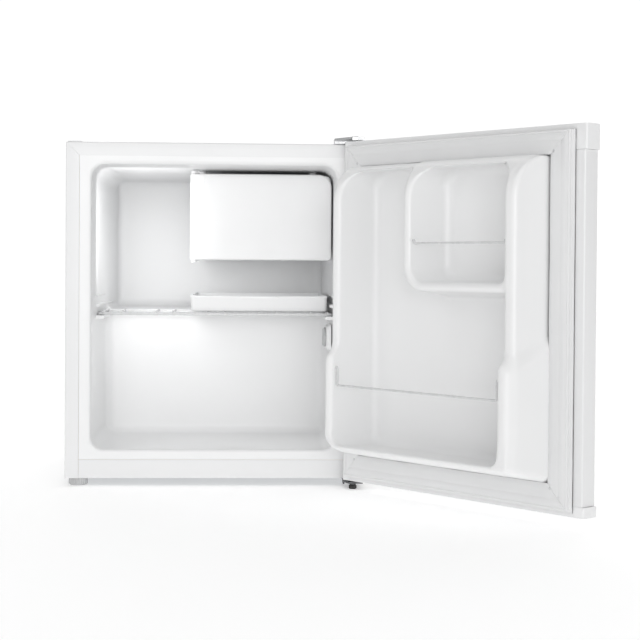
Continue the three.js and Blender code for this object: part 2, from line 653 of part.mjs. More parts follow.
const THERMOSTAT = { y0: 80, y1: 150, z0: 184, z1: 226, proud: 7 };
const THERMOSTAT_WALL = WIDTH - wallAt(THERMOSTAT.y1) - 2 * GAP;
const THERMOSTAT_FACE = THERMOSTAT_WALL - THERMOSTAT.proud;
const KNOB_AT = [115, 205]; // y and z

function thermostatHousing() {
  const { y0, y1, z0, z1 } = THERMOSTAT;
  const ring = (x, inset) => (
    roundedRect(y0 + inset, y1 - inset, z0 + inset, z1 - inset, 7, 3).map(([y, z]) => [x, y, z]));
  const housing = loft([ring(THERMOSTAT_WALL, 0), ring(THERMOSTAT_FACE + 3, 1.5), ring(THERMOSTAT_FACE, 4)]);
  return housing.subtract(cylinderAlong('x', [THERMOSTAT_FACE, ...KNOB_AT], 4, 12));
}

function thermostatKnob() {
  const KNOB_R = 15;
  const dial = knurledDisc(0, 0, KNOB_R, 20, 0.7, 0, 3);
  const hub = turned(0, 0, [[3.6, -5], [3.6, 1]], 12);
  const grip = box(-KNOB_R + 2, KNOB_R - 2, -2.5, 2.5, 2, 5);
  return union([dial, hub, grip]).rotate([0, -90, 0]).translate([THERMOSTAT_FACE - GAP, ...KNOB_AT]);
}

// ---- door, drawn shut about its hinge axis: x is minus the distance from the axis ---------------
const LINER_BACK = DOOR_INNER + GAP;
const LINER_FACE = LINER_BACK + LINER_WALL;
const EDGE_BAND = 14.3; // bare steel around the liner
const DYKE_UPPER = 82; // how far the rims stand in, from the hinge axis plane
const DYKE_LOWER = 95;
const STEP_Z = 206;
const DYKE_SHELL = 1.5;
const BOTTLE_GUARD = { z: 175, y: 85, drop: 26, from: -51.5, to: -352.5 };
const POCKET_GUARD = { z: 352.5, y: 73, drop: 4, from: -187.5, to: -354 };

// A solid that stands out of the door. base and front are [u0, u1, z0, z1, radii], with u measured
// from the hinge axis towards the free edge, and edge is the radius of its front edge.
function doorForm(base, front, y0, y1, edge) {
  const EDGE_STEPS = 3;
  const mix = (a, b, t) => a + (b - a) * t;
  const ring = (y, inset) => {
    const t = (y - y0) / (y1 - y0);
    const [u0, u1, z0, z1] = [0, 1, 2, 3].map((i) => mix(base[i], front[i], t));
    const radii = base[4].map((r, i) => Math.max(mix(r, front[4][i], t) - inset, 0.5));
    return roundedRect(u0 + inset, u1 - inset, z0 + inset, z1 - inset, radii).map(([u, z]) => [-u, y, z]);
  };
  const rings = [ring(y0, 0)];
  for (let step = edge > 0 ? 0 : EDGE_STEPS; step <= EDGE_STEPS; step += 1) {
    const angle = step / EDGE_STEPS * Math.PI / 2;
    rings.push(ring(y1 - edge * (1 - Math.sin(angle)), edge * (1 - Math.cos(angle))));
  }
  return loft(rings);
}

// The side view of the rims, across the whole door: their upper front corner is widely rounded.
function dykeProfile(thin, y0) {
  const [STEPS, RADIUS, TOP] = [9, 55, 460];
  const [cy, cz] = [DYKE_UPPER - RADIUS, TOP - RADIUS];
  const arc = Array.from({ length: STEPS + 1 }, (_, step) => {
    const angle = step / STEPS * Math.PI / 2;
    return [cy + (RADIUS - thin) * Math.cos(angle), cz + (RADIUS - thin) * Math.sin(angle)];
  });
  const front = DYKE_LOWER + 1;
  const outline = [[y0 - 1, 0], [front, 0], [front, STEP_Z + 60], ...arc, [y0 - 1, TOP - thin]];
  const side = (x) => outline.map(([y, z]) => [x, y, z]);
  return loft([side(-LINER_EDGES[1]), side(-LINER_EDGES[0])]);
}

// The liner's raised rim, standing out of the door from y0. Its two walls enclose a bottle recess,
// and a lower wall encloses the upper pocket. thin is how much thinner every wall is on each side.
function dykes(thin, y0) {
  const t = thin;
  const cutFrom = y0 < LINER_BACK ? y0 - 1 : LINER_FACE;
  const cutTo = DYKE_LOWER + 10;
  const rim = doorForm(
    [35 + t, 377 - t, 44.5 + t, 461, [28, 6, 6, 12]],
    [38 + t, 373 - t, 58 + t, 461, [28, 6, 6, 14]],
    y0,
    DYKE_UPPER - t,
    6,
  );
  const lowerRim = doorForm(
    [35 + t, 377 - t, 44.5 + t, STEP_Z + 14 - t, [28, 6, 3, 3]],
    [38.4 + t, 372.6 - t, 60 + t, STEP_Z - 12 - t, [24, 7, 14, 14]],
    y0,
    DYKE_LOWER - t,
    6,
  );
  const recess = doorForm(
    [56 - t, 351 + t, 60 - t, 452 + t, [16, 12, 24, 26]],
    [52 - t, 356 + t, 67 - t, 450 + t, [16, 12, 24, 28]],
    cutFrom,
    cutTo,
    0,
  );
  const pocketWall = doorForm(
    [168 + t, 362, 277 + t, 461, [36, 2, 2, 10]],
    [175 + t, 362, 285 + t, 461, [33, 2, 2, 10]],
    y0,
    DYKE_UPPER - 3 - t,
    3,
  );
  const pocket = doorForm(
    [196 - t, 351 + t, 299 - t, 452 + t, [22, 12, 24, 24]],
    [184 - t, 356 + t, 295 - t, 450 + t, [25, 12, 24, 28]],
    cutFrom,
    cutTo,
    0,
  );
  const walls = rim.add(lowerRim).subtract(recess).add(pocketWall.subtract(pocket));
  return walls.intersect(dykeProfile(t, y0));
}

const guardHoles = () => [BOTTLE_GUARD, POCKET_GUARD].flatMap(({ z, y, from, to }) => [
  cylinderAlong('x', [from + 1, y, z], 2.3, 18, 8),
  cylinderAlong('x', [to - 1, y, z], 2.3, 18, 8),
]);

const LINER_EDGES = [1.7, 410.7, 6.5, 492.5]; // u and z of the liner's edges
const LINER_SCREWS = [[27, 465], [385.5, 465], [25, 36], [384, 36]]; // u and z
const linerScrewHoles = () => LINER_SCREWS.map(([u, z]) => (
  cylinderAlong('y', [-u, LINER_FACE + 2, z], 2.3, 26, 8)));

function doorLiner() {
  const [u0, u1, z0, z1] = LINER_EDGES;
  const sheet = box(-u1, -u0, LINER_BACK, LINER_FACE, z0, z1);
  const formed = sheet.add(dykes(0, LINER_BACK + 0.4));
  return minus(formed, [dykes(DYKE_SHELL, LINER_BACK - 1), ...guardHoles(), ...linerScrewHoles()]);
}

function doorSkin() {
  const [x0, x1] = [DOOR_FREE_EDGE, DOOR_HINGE_EDGE];
  const EDGE_R = 6;
  const outline = (t) => {
    const r = EDGE_R - t;
    const corner = (cx, cy, from) => [0, 1, 2, 3].map((step) => {
      const angle = (from + step / 3) * Math.PI / 2;
      return [cx + r * Math.cos(angle), cy + r * Math.sin(angle)];
    });
    return [
      ...corner(x0 + EDGE_R, DOOR_OUTER + EDGE_R, 2),
      ...corner(x1 - EDGE_R, DOOR_OUTER + EDGE_R, 3),
      [x1 - t, DOOR_INNER - t], [x0 + t, DOOR_INNER - t],
    ];
  };
  const [low, high] = [BOTTOM_CAP_TOP + GAP, TOP_CAP_FOOT - GAP];
  const pan = upright(outline(0), low, high).subtract(upright(outline(SHEET), low - 1, high + 1));
  const open = box(x0 + EDGE_BAND, x1 - EDGE_BAND, DOOR_INNER - 3, DOOR_INNER + 3, low - 1, high + 1);
  return pan.subtract(open);
}

function doorFoam() {
  const [x0, x1] = [DOOR_FREE_EDGE + SHEET + GAP, DOOR_HINGE_EDGE - SHEET - GAP];
  const [y0, y1] = [DOOR_OUTER + SHEET + GAP, DOOR_INNER - SHEET - GAP];
  const CHAMFER = 5;
  const outline = [
    [x0 + CHAMFER, y0], [x1 - CHAMFER, y0], [x1, y0 + CHAMFER], [x1, y1], [x0, y1], [x0, y0 + CHAMFER],
  ];
  const slab = upright(outline, BOTTOM_CAP_TOP + GAP, TOP_CAP_FOOT - GAP);
  return minus(slab.add(dykes(DYKE_SHELL + GAP, y1 - 1)), [...guardHoles(), ...linerScrewHoles()]);
}

const capOutline = (inset) => {
  const [x0, x1] = [DOOR_FREE_EDGE - CAP_PROUD + inset, DOOR_HINGE_EDGE - inset];
  const [y0, y1] = [DOOR_OUTER - 0.9 + inset, DOOR_INNER - inset];
  return roundedRect(x0, x1, y0, y1, [6, 6, 1.5, 2.5], 3);
};

const CAP_WALL = 2.5;

// A cap over one end of the door, hollow from hollowZ0 to hollowZ1, with a block for the hinge bush.
function doorCap(z0, z1, hollowZ0, hollowZ1) {
  const hollow = upright(capOutline(CAP_WALL), hollowZ0, hollowZ1);
  const bushBlock = upright(roundedRect(-12, 11.5, -18, 6, 3, 2), z0, z1);
  const bore = cylinderAlong('z', [0, 0, (z0 + z1) / 2], BUSH_R + GAP, z1 - z0 + 20, 16);
  return upright(capOutline(0), z0, z1).subtract(hollow).add(bushBlock).subtract(bore);
}

// The top cap holds the recessed grip, at the free end of the door's outer face.
function doorTopCap() {
  const GRIP_DEPTH = 16;
  const cap = doorCap(TOP_CAP_FOOT, DOOR_HEIGHT, TOP_CAP_FOOT - 5, DOOR_HEIGHT - CAP_WALL);
  const gripEdge = (inset) => (
    roundedRect(-398 + inset, -250 - inset, 474 + inset, 492 - inset, 8 - inset, 3));
  const gripWall = standingPlate(gripEdge(-2), DOOR_OUTER - 0.5, DOOR_OUTER + GRIP_DEPTH + 2);
  const grip = loft([
    standing(gripEdge(0), DOOR_OUTER - 5),
    standing(gripEdge(1), DOOR_OUTER + GRIP_DEPTH),
  ]);
  return cap.add(gripWall).subtract(grip);
}

const doorBottomCap = () => (
  doorCap(DOOR_BOTTOM, BOTTOM_CAP_TOP, DOOR_BOTTOM + CAP_WALL, BOTTOM_CAP_TOP + 5));

function hingeBush(z0, z1) {
  const bore = cylinderAlong('z', [0, 0, (z0 + z1) / 2], HINGE_PIN_R + GAP, z1 - z0 + 4, 16);
  return turned(0, 0, [[BUSH_R, z0], [BUSH_R, z1]], 16).subtract(bore);
}

// A frame: a magnetic bead 13 wide, with a flat lip that reaches on to the liner's rims.
function doorGasket() {
  const BACK = LINER_FACE + GAP;
  const FACE = -HINGE_Y - 0.5;
  const [u0, u1, z0, z1] = LINER_EDGES;
  const ring = (inset, y, below = inset) => {
    const [left, right] = [-u1 + inset, -u0 - inset];
    const [low, high] = [z0 + below, z1 - inset];
    return standing([[left, low], [right, low], [right, high], [left, high]], y);
  };
  const outer = loft([
    ring(0, BACK), ring(0.8, BACK + 2), ring(0, BACK + 4), ring(0.3, FACE - 3), ring(1.8, FACE),
  ]);
  const inner = loft([
    ring(20, BACK - 1), ring(20, BACK + 0.8), ring(14, BACK + 2), ring(13.5, FACE - 4.5),
    ring(30, FACE - 2.4, 35), ring(30.5, FACE - 1, 35.5), ring(30, FACE + 0.1, 35),
  ]);
  return minus(outer, [inner, ...linerScrewHoles()]);
}

// A screw through the gasket's lip and the liner, its head let into the lip.
function linerScrew([u, z]) {
  const head = turned(0, 0, [[1.5, -14], [1.5, 0], [2, 0.3], [2, 1], [1.4, 1.5]], 12);
  return head.rotate([-90, 0, 0]).translate([-u, -HINGE_Y - 2, z]);
}

// A wire across the door: its ends turn in two holes and its middle hangs below them.
function guardWire({ z, y, drop, from, to }) {
  const WIRE_R = 1.5;
  const INTO_WALL = 6;
  const SHOULDER = 4;
  const path = [
    [from + INTO_WALL, y, z], [from - SHOULDER, y, z], [from - SHOULDER, y, z - drop],
    [to + SHOULDER, y, z - drop], [to + SHOULDER, y, z], [to - INTO_WALL, y, z],
  ];
  return rod(rounded(path, Math.min(3.5, drop / 2.2), 3), WIRE_R, 8);
}

// ---- the whole object --------------------------------------------------------------------------
function addCabinet(cabinet) {
  addPiece(cabinet, 'outer_shell', outerShell(), paintedSteel());
  addPiece(cabinet, 'back_panel', backPanel(), galvanised());
  addPiece(cabinet, 'bottom_panel', bottomPanel(), galvanised());
  addPiece(cabinet, 'front_bottom_rail', bottomRail(), paintedSteel());
  addPiece(cabinet, 'inner_liner', innerLiner(), linerPlastic());
  addPiece(cabinet, 'insulation_foam', insulation(), foamYellow());
  addPiece(cabinet, 'condenser_coil', condenserCoil(), copper());
  addPiece(cabinet, 'hinge_hole_plug', hingeHolePlug(), whitePlastic());
}

function addHingesAndFeet(cabinet) {
  addPiece(cabinet, 'top_hinge_bracket', topHingeBracket(), zincSteel());
  addPiece(cabinet, 'top_hinge_pin', topHingePin(), zincSteel());
  addPiece(cabinet, 'lower_hinge_bracket', lowerHingeBracket(), darkSteel());
  addPiece(cabinet, 'lower_hinge_pin', lowerHingePin(), darkSteel());
  TOP_SCREWS.forEach((at, i) => {
    addPiece(cabinet, `top_hinge_screw_${i + 1}`, screw(at, TOP_SCREW_SEAT + GAP, 15), zincSteel());
  });
  LOWER_SCREWS.forEach((at, i) => {
    const seat = LOWER_BRACKET - BRACKET_STEEL - GAP;
    addPiece(cabinet, `lower_hinge_screw_${i + 1}`, screw(at, seat, -13), darkSteel());
  });
  addPiece(cabinet, 'front_left_foot', frontLeftFoot(), greyPlastic());
  addPiece(cabinet, 'front_right_foot', frontRightFoot(), blackRubber());
  addPiece(cabinet, 'rear_left_foot', rearFoot(34), greyPlastic());
  addPiece(cabinet, 'rear_right_foot', rearFoot(WIDTH - 34), greyPlastic());
}

function addCoolingSystem(cabinet) {
  addPiece(cabinet, 'compressor_base_plate', basePlate(), galvanised());
  addPiece(cabinet, 'compressor', compressor(), blackPaint());
  MOUNTS.forEach((at, i) => addPiece(cabinet, `compressor_grommet_${i + 1}`, grommet(at), blackRubber()));
  addPiece(cabinet, 'relay_cover', relayCover(), whitePlastic());
  addPiece(cabinet, 'suction_tube', suctionTube(), copper());
  addPiece(cabinet, 'discharge_tube', dischargeTube(), copper());
  addPiece(cabinet, 'filter_dryer', filterDryer(), copper());
  addPiece(cabinet, 'cord_gland', cordGland(), blackRubber());
}

function addInterior(cabinet) {
  addPiece(cabinet, 'freezer_box', freezerBox(), aluminium());
  addPiece(cabinet, 'freezer_frame', freezerFrame(), whitePlastic());
  const [x0, x1] = [FREEZER[0] + 14, FREEZER[1] - 24];
  [[x0, 130], [x1, 130], [x0, 340], [x1, 340]].forEach(([x, y], i) => {
    addPiece(cabinet, `freezer_hanger_${i + 1}`, freezerHanger(x, y), whitePlastic());
  });
  addPiece(cabinet, 'freezer_flap', freezerFlap(), whitePlastic());
  addPiece(cabinet, 'drip_tray', dripTray(), whitePlastic());
  addPiece(cabinet, 'wire_shelf', wireShelf(), coatedWire());
  addPiece(cabinet, 'thermostat_housing', thermostatHousing(), whitePlastic());
  addPiece(cabinet, 'thermostat_knob', thermostatKnob(), greyPlastic());
}

function addDoor(door) {
  addPiece(door, 'door_skin', doorSkin(), paintedSteel());
  addPiece(door, 'door_foam', doorFoam(), foamYellow());
  addPiece(door, 'door_top_cap', doorTopCap(), whitePlastic());
  addPiece(door, 'door_bottom_cap', doorBottomCap(), whitePlastic());
  addPiece(door, 'door_liner', doorLiner(), linerPlastic());
  addPiece(door, 'door_gasket', doorGasket(), whiteRubber());
  LINER_SCREWS.forEach((at, i) => addPiece(door, `liner_screw_${i + 1}`, linerScrew(at), zincSteel()));
  addPiece(door, 'door_top_bush', hingeBush(486, DOOR_HEIGHT), greyPlastic());
  addPiece(door, 'door_bottom_bush', hingeBush(DOOR_BOTTOM, 13.5), greyPlastic());
  addPiece(door, 'bottle_guard', guardWire(BOTTLE_GUARD), coatedWire());
  addPiece(door, 'pocket_guard', guardWire(POCKET_GUARD), coatedWire());
}

const fridge = new THREE.Group();
fridge.position.set(-WIDTH / 2, -DEPTH / 2, 0);
addCabinet(fridge);
addHingesAndFeet(fridge);
addCoolingSystem(fridge);
addInterior(fridge);

const door = new THREE.Group();
door.position.set(HINGE_X, HINGE_Y, 0);
door.rotation.z = THREE.MathUtils.degToRad(DOOR_ANGLE);
fridge.add(door);
addDoor(door);

const whole = new THREE.Group();
whole.add(fridge);
export default whole;
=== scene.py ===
"""Looks of a white table-top mini fridge, its door standing open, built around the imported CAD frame.

Two sets of drawing coordinates are used, both in millimetres. In the cabinet, x runs from its left
side, y from its front plane into it and z from its underside. In the door, u runs from the hinge
axis towards the free edge, n from the hinge axis towards the food, and z is the cabinet's.
"""
import json
import math

import bmesh
import bpy
import numpy as np
from mathutils import Matrix, Vector


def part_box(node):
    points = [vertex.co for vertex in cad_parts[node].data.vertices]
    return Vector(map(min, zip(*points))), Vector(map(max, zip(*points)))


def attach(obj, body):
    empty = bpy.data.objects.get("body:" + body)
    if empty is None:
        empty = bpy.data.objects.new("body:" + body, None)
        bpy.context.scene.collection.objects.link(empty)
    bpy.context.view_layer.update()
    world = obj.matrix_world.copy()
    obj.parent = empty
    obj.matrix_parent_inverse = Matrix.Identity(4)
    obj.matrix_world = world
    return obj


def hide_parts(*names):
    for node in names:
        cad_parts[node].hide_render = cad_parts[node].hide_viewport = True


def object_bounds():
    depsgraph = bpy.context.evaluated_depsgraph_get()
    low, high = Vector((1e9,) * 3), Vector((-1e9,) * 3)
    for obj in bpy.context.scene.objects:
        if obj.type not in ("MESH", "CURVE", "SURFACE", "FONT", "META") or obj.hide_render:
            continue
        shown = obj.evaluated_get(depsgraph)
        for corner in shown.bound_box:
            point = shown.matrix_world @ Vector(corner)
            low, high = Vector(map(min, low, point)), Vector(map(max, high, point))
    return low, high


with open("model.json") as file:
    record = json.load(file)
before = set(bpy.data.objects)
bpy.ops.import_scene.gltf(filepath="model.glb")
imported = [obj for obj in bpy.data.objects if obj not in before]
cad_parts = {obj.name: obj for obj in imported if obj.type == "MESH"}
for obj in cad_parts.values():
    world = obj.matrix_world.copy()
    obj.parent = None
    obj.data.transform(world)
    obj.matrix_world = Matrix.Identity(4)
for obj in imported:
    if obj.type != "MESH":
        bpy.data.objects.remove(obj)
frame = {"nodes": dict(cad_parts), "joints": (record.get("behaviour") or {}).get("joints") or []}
cad_box = [list(corner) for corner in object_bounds()]

# ---- drawing coordinates and driving sizes ------------------------------------------------------
MM = 0.001
shell_low, shell_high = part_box("outer_shell")
hinge = Vector(next(j["pos_m"] for j in frame["joints"] if j["name"] == "door_hinge"))
DOOR_ANGLE = math.radians(130)
WIDTH = (shell_high.x - shell_low.x) / MM
HEIGHT = (shell_high.z - shell_low.z) / MM

CABINET = Matrix.Translation(shell_low) @ Matrix.Scale(MM, 4)
cos_open, sin_open = math.cos(DOOR_ANGLE), math.sin(DOOR_ANGLE)
DOOR = Matrix.Translation((hinge.x, hinge.y, 0)) @ Matrix((
    (-cos_open * MM, -sin_open * MM, 0, 0),
    (-sin_open * MM, cos_open * MM, 0, 0),
    (0, 0, MM, 0),
    (0, 0, 0, 1),
))

SHEET = 1.0
FLANGE = 20.3
RAIL_HEIGHT = 27.3
GAP = 0.3
LINER_WALL = 1.2

CAVITY_SIDE = 38.0
CAVITY_TOP = 465.0
CAVITY_FLOOR = 42.7
CAVITY_DEPTH = 380.0
HUMP_DEPTH = 200.0
HUMP_TOP = 244.5
LEDGE_FRONT = 60.0
SHELF_LEDGE = 238.7
SIDE_DRAFT = 5 / CAVITY_DEPTH
TOP_DRAFT = 5.5 / CAVITY_DEPTH
FLOOR_DRAFT = 0.012

LINER_EDGES = (1.7, 410.7, 6.5, 492.5)  # u and z
LINER_FACE = 9.9
LINER_SCREWS = ((27, 465), (385.5, 465), (25, 36), (384, 36))  # u and z
SCREW_SEAT = 20.7
DYKE_TOP = 460.0
DYKE_UPPER = 82.0
DYKE_LOWER = 95.0
BOTTLE_GUARD = {"z": 175, "n": 85, "drop": 26, "start": 51.5, "end": 352.5}
POCKET_GUARD = {"z": 352.5, "n": 73, "drop": 4, "start": 187.5, "end": 354}


# ---- materials ----------------------------------------------------------------------------------
class Finish:
    """A Principled material. Its methods vary the colour and roughness and add fine relief."""

    def __init__(self, name, color, roughness, metallic=0.0, **constants):
        self.material = bpy.data.materials.new(name)
        self.material.use_nodes = True
        self.nodes = self.material.node_tree.nodes
        self.links = self.material.node_tree.links
        self.shader = self.nodes["Principled BSDF"]
        self.color = (*color, 1)
        self.shader.inputs["Base Color"].default_value = self.color
        self.shader.inputs["Roughness"].default_value = roughness
        self.shader.inputs["Metallic"].default_value = metallic
        for socket, value in constants.items():
            self.shader.inputs[socket.replace("_", " ")].default_value = value
        self.place = self.nodes.new("ShaderNodeTexCoord").outputs["Object"]

    def noise(self, scale, detail=3.0, stretch=(1, 1, 1)):
        """Noise of so many lumps a metre, which may be stretched along the axes."""
        mapping = self.nodes.new("ShaderNodeMapping")
        mapping.inputs["Scale"].default_value = stretch
        texture = self.nodes.new("ShaderNodeTexNoise")
        texture.inputs["Scale"].default_value = scale
        texture.inputs["Detail"].default_value = detail
        self.links.new(self.place, mapping.inputs["Vector"])
        self.links.new(mapping.outputs["Vector"], texture.inputs["Vector"])
        return texture.outputs[0]

    def cells(self, scale, output="Color"):
        """Cells of so many a metre, as a random colour or as the distance from their middles."""
        texture = self.nodes.new("ShaderNodeTexVoronoi")
        texture.inputs["Scale"].default_value = scale
        self.links.new(self.place, texture.inputs["Vector"])
        return texture.outputs[output]

    def mapped(self, factor, low, high):
        """The factor, whose noise mostly lies between 0.2 and 0.8, spread from low to high."""
        remap = self.nodes.new("ShaderNodeMapRange")
        settings = {"From Min": 0.2, "From Max": 0.8, "To Min": low, "To Max": high}
        for socket, value in settings.items():
            remap.inputs[socket].default_value = value
        self.links.new(factor, remap.inputs["Value"])
        return remap.outputs["Result"]

    def tint(self, factor, other, low=0.0, high=1.0):
        """Mixes the base colour with another, from low to high with the factor."""
        mix = self.nodes.new("ShaderNodeMix")
        mix.data_type = "RGBA"
        mix.inputs["A"].default_value = self.color
        mix.inputs["B"].default_value = (*other, 1)
        self.links.new(self.mapped(factor, low, high), mix.inputs["Factor"])
        self.links.new(mix.outputs["Result"], self.shader.inputs["Base Color"])
        return self

    def gloss(self, factor, low, high):
        """Varies the roughness from low to high with the factor."""
        self.links.new(self.mapped(factor, low, high), self.shader.inputs["Roughness"])
        return self

    def relief(self, height, millimetres):
        """Adds relief of that height to what is there already."""
        bump = self.nodes.new("ShaderNodeBump")
        bump.inputs["Strength"].default_value = 1.0
        bump.inputs["Distance"].default_value = millimetres * MM
        earlier = self.shader.inputs["Normal"].links
        if earlier:
            self.links.new(earlier[0].from_socket, bump.inputs["Normal"])
        self.links.new(height, bump.inputs["Height"])
        self.links.new(bump.outputs["Normal"], self.shader.inputs["Normal"])
        return self


def painted_steel():
    """Baked white enamel: glossy, with a fine orange peel and a faint swell in the sheet."""
    finish = Finish("painted_steel", (0.84, 0.842, 0.845), 0.34, Coat_Weight=0.15, Coat_Roughness=0.12)
    finish.tint(finish.noise(6, 2), (0.825, 0.828, 0.832), 0, 1)
    finish.gloss(finish.noise(45, 4), 0.30, 0.42)
    finish.relief(finish.noise(7, 1), 0.35)
    return finish.relief(finish.noise(620, 2), 0.014)


def liner_plastic():
    """Vacuum-formed polystyrene: satin gloss, with the gentle unevenness of a drawn sheet."""
    finish = Finish("liner_plastic", (0.89, 0.892, 0.894), 0.30, Coat_Weight=0.1, Coat_Roughness=0.2)
    finish.tint(finish.noise(9, 3), (0.875, 0.878, 0.88), 0, 1)
    finish.gloss(finish.noise(30, 4), 0.28, 0.36)
    finish.relief(finish.noise(20, 2), 0.18)
    return finish.relief(finish.noise(900, 2), 0.006)


def white_plastic():
    """Moulded white plastic with a fine spark-eroded grain."""
    finish = Finish("white_plastic", (0.88, 0.882, 0.884), 0.33)
    finish.tint(finish.noise(14, 3), (0.865, 0.868, 0.872), 0, 1)
    finish.gloss(finish.noise(70, 4), 0.28, 0.40)
    finish.relief(finish.noise(28, 2), 0.08)
    return finish.relief(finish.noise(1500, 2), 0.008)


def gasket_vinyl():
    """Soft satin vinyl, a little uneven, and dustier in its folds."""
    finish = Finish("gasket_vinyl", (0.80, 0.802, 0.805), 0.5, Sheen_Weight=0.08, Sheen_Roughness=0.4)
    finish.tint(finish.noise(24, 4), (0.775, 0.778, 0.782), 0, 1)
    finish.gloss(finish.noise(60, 3), 0.42, 0.58)
    finish.relief(finish.noise(90, 3), 0.10)
    return finish.relief(finish.noise(1100, 2), 0.012)


def foam():
    """Rigid polyurethane foam: small open cells, honey coloured."""
    finish = Finish("foam", (0.80, 0.66, 0.38), 0.95)
    finish.tint(finish.noise(40, 5), (0.66, 0.50, 0.25), 0, 1)
    finish.gloss(finish.noise(90, 3), 0.88, 1.0)
    return finish.relief(finish.cells(650, "Distance"), 0.6)


def coated_wire():
    """Steel wire under a thick, slightly lumpy white coating."""
    finish = Finish("coated_wire", (0.68, 0.685, 0.69), 0.26, Coat_Weight=0.3, Coat_Roughness=0.1)
    finish.tint(finish.noise(60, 3), (0.63, 0.635, 0.64), 0, 1)
    finish.gloss(finish.noise(120, 3), 0.2, 0.34)
    return finish.relief(finish.noise(190, 3), 0.07)


def zinc_steel():
    """Pressed steel with a bright zinc plating, brushed one way and faintly clouded."""
    finish = Finish("zinc_steel", (0.72, 0.725, 0.73), 0.40, 0.7)
    finish.tint(finish.noise(130, 5), (0.60, 0.605, 0.615), 0, 1)
    finish.gloss(finish.noise(80, 4), 0.28, 0.5)
    finish.relief(finish.noise(260, 3, (1, 12, 4)), 0.02)
    return finish.relief(finish.noise(60, 2), 0.06)


def dark_steel():
    """Phosphated and oiled steel, dark grey with worn, lighter patches."""
    finish = Finish("dark_steel", (0.075, 0.077, 0.082), 0.42, 0.65)
    finish.tint(finish.noise(150, 5), (0.20, 0.20, 0.205), 0, 0.8)
    finish.gloss(finish.noise(110, 4), 0.32, 0.58)
    return finish.relief(finish.noise(420, 4), 0.03)


def galvanised_steel():
    """Hot-dip galvanised sheet with its spangle."""
    finish = Finish("galvanised_steel", (0.60, 0.615, 0.63), 0.42, 0.75)
    spangle = finish.cells(95)
    finish.tint(spangle, (0.43, 0.45, 0.47), 0, 0.9)
    finish.gloss(finish.cells(95), 0.3, 0.55)
    return finish.relief(finish.noise(35, 2), 0.12)


def black_paint():
    """Thick black enamel with an orange peel."""
    finish = Finish("black_paint", (0.018, 0.018, 0.02), 0.3, Coat_Weight=0.4, Coat_Roughness=0.15)
    finish.tint(finish.noise(60, 4), (0.04, 0.04, 0.042), 0, 0.8)
    finish.gloss(finish.noise(50, 3), 0.26, 0.5)
    return finish.relief(finish.noise(380, 2), 0.035)


def black_rubber():
    """Moulded rubber, matt and a little dusty."""
    finish = Finish("black_rubber", (0.022, 0.022, 0.023), 0.75)
    finish.tint(finish.noise(90, 5), (0.075, 0.073, 0.07), 0, 0.7)
    finish.gloss(finish.noise(140, 3), 0.62, 0.9)
    return finish.relief(finish.noise(1300, 3), 0.03)


def copper():
    """Drawn copper tube, browned where it has been heated and handled."""
    finish = Finish("copper", (0.72, 0.34, 0.19), 0.28, 1.0)
    finish.tint(finish.noise(55, 5), (0.33, 0.15, 0.09), 0, 0.75)
    finish.gloss(finish.noise(90, 4), 0.2, 0.48)
    return finish.relief(finish.noise(500, 2, (1, 1, 0.1)), 0.01)


def aluminium():
    """Mill-finish aluminium sheet, brushed along its length."""
    finish = Finish("aluminium", (0.74, 0.75, 0.76), 0.4, 0.85)
    finish.tint(finish.noise(30, 4), (0.62, 0.63, 0.65), 0, 1)
    finish.gloss(finish.noise(300, 4, (6, 0.4, 6)), 0.32, 0.5)
    return finish.relief(finish.noise(420, 3, (6, 0.3, 6)), 0.012)


def grey_plastic():
    """Moulded grey-white nylon, satin, with scuffs."""
    finish = Finish("grey_plastic", (0.60, 0.605, 0.61), 0.45)
    finish.tint(finish.noise(80, 5), (0.52, 0.525, 0.53), 0, 1)
    finish.gloss(finish.noise(150, 4), 0.36, 0.6)
    return finish.relief(finish.noise(900, 3), 0.015)


FINISHES = (
    painted_steel, liner_plastic, white_plastic, gasket_vinyl, foam, coated_wire, zinc_steel,
    dark_steel, galvanised_steel, black_paint, black_rubber, copper, aluminium, grey_plastic,
)
MATERIALS = {make.__name__: make().material for make in FINISHES}


# ---- pieces -------------------------------------------------------------------------------------
def as_piece(name, mesh, body, slot, replaces=(), sharp=38.0):
    """Wraps a mesh, already in the row frame, as a smooth-shaded piece that rides on a body."""
    mesh.materials.clear()
    mesh.materials.append(MATERIALS[slot])
    if sharp is not None:
        mesh.shade_smooth()
        mesh.set_sharp_from_angle(angle=math.radians(sharp))
    obj = bpy.data.objects.new(name, mesh)
    bpy.context.scene.collection.objects.link(obj)
    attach(obj, body)
    if replaces:
        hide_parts(*replaces)
    return obj


def placed(points, place):
    matrix = np.array(place)
    return np.asarray(points, float) @ matrix[:3, :3].T + matrix[:3, 3]


def shape(name, solid, place, body, slot, replaces=(), sharp=38.0):
    """A piece from (points, faces) in millimetres of the drawing coordinates."""
    points, faces = solid
    if place.to_3x3().determinant() < 0:
        faces = [list(face)[::-1] for face in faces]
    mesh = bpy.data.meshes.new(name)
    mesh.from_pydata(placed(points, place).tolist(), [], faces)
    mesh.validate()
    return as_piece(name, mesh, body, slot, replaces, sharp)


def joined(*solids):
    """Several (points, faces) solids as one."""
    points, faces = [], []
    for some_points, some_faces in solids:
        start = len(points)
        points.extend(np.asarray(some_points).tolist())
        faces.extend([[start + i for i in face] for face in some_faces])
    return points, faces


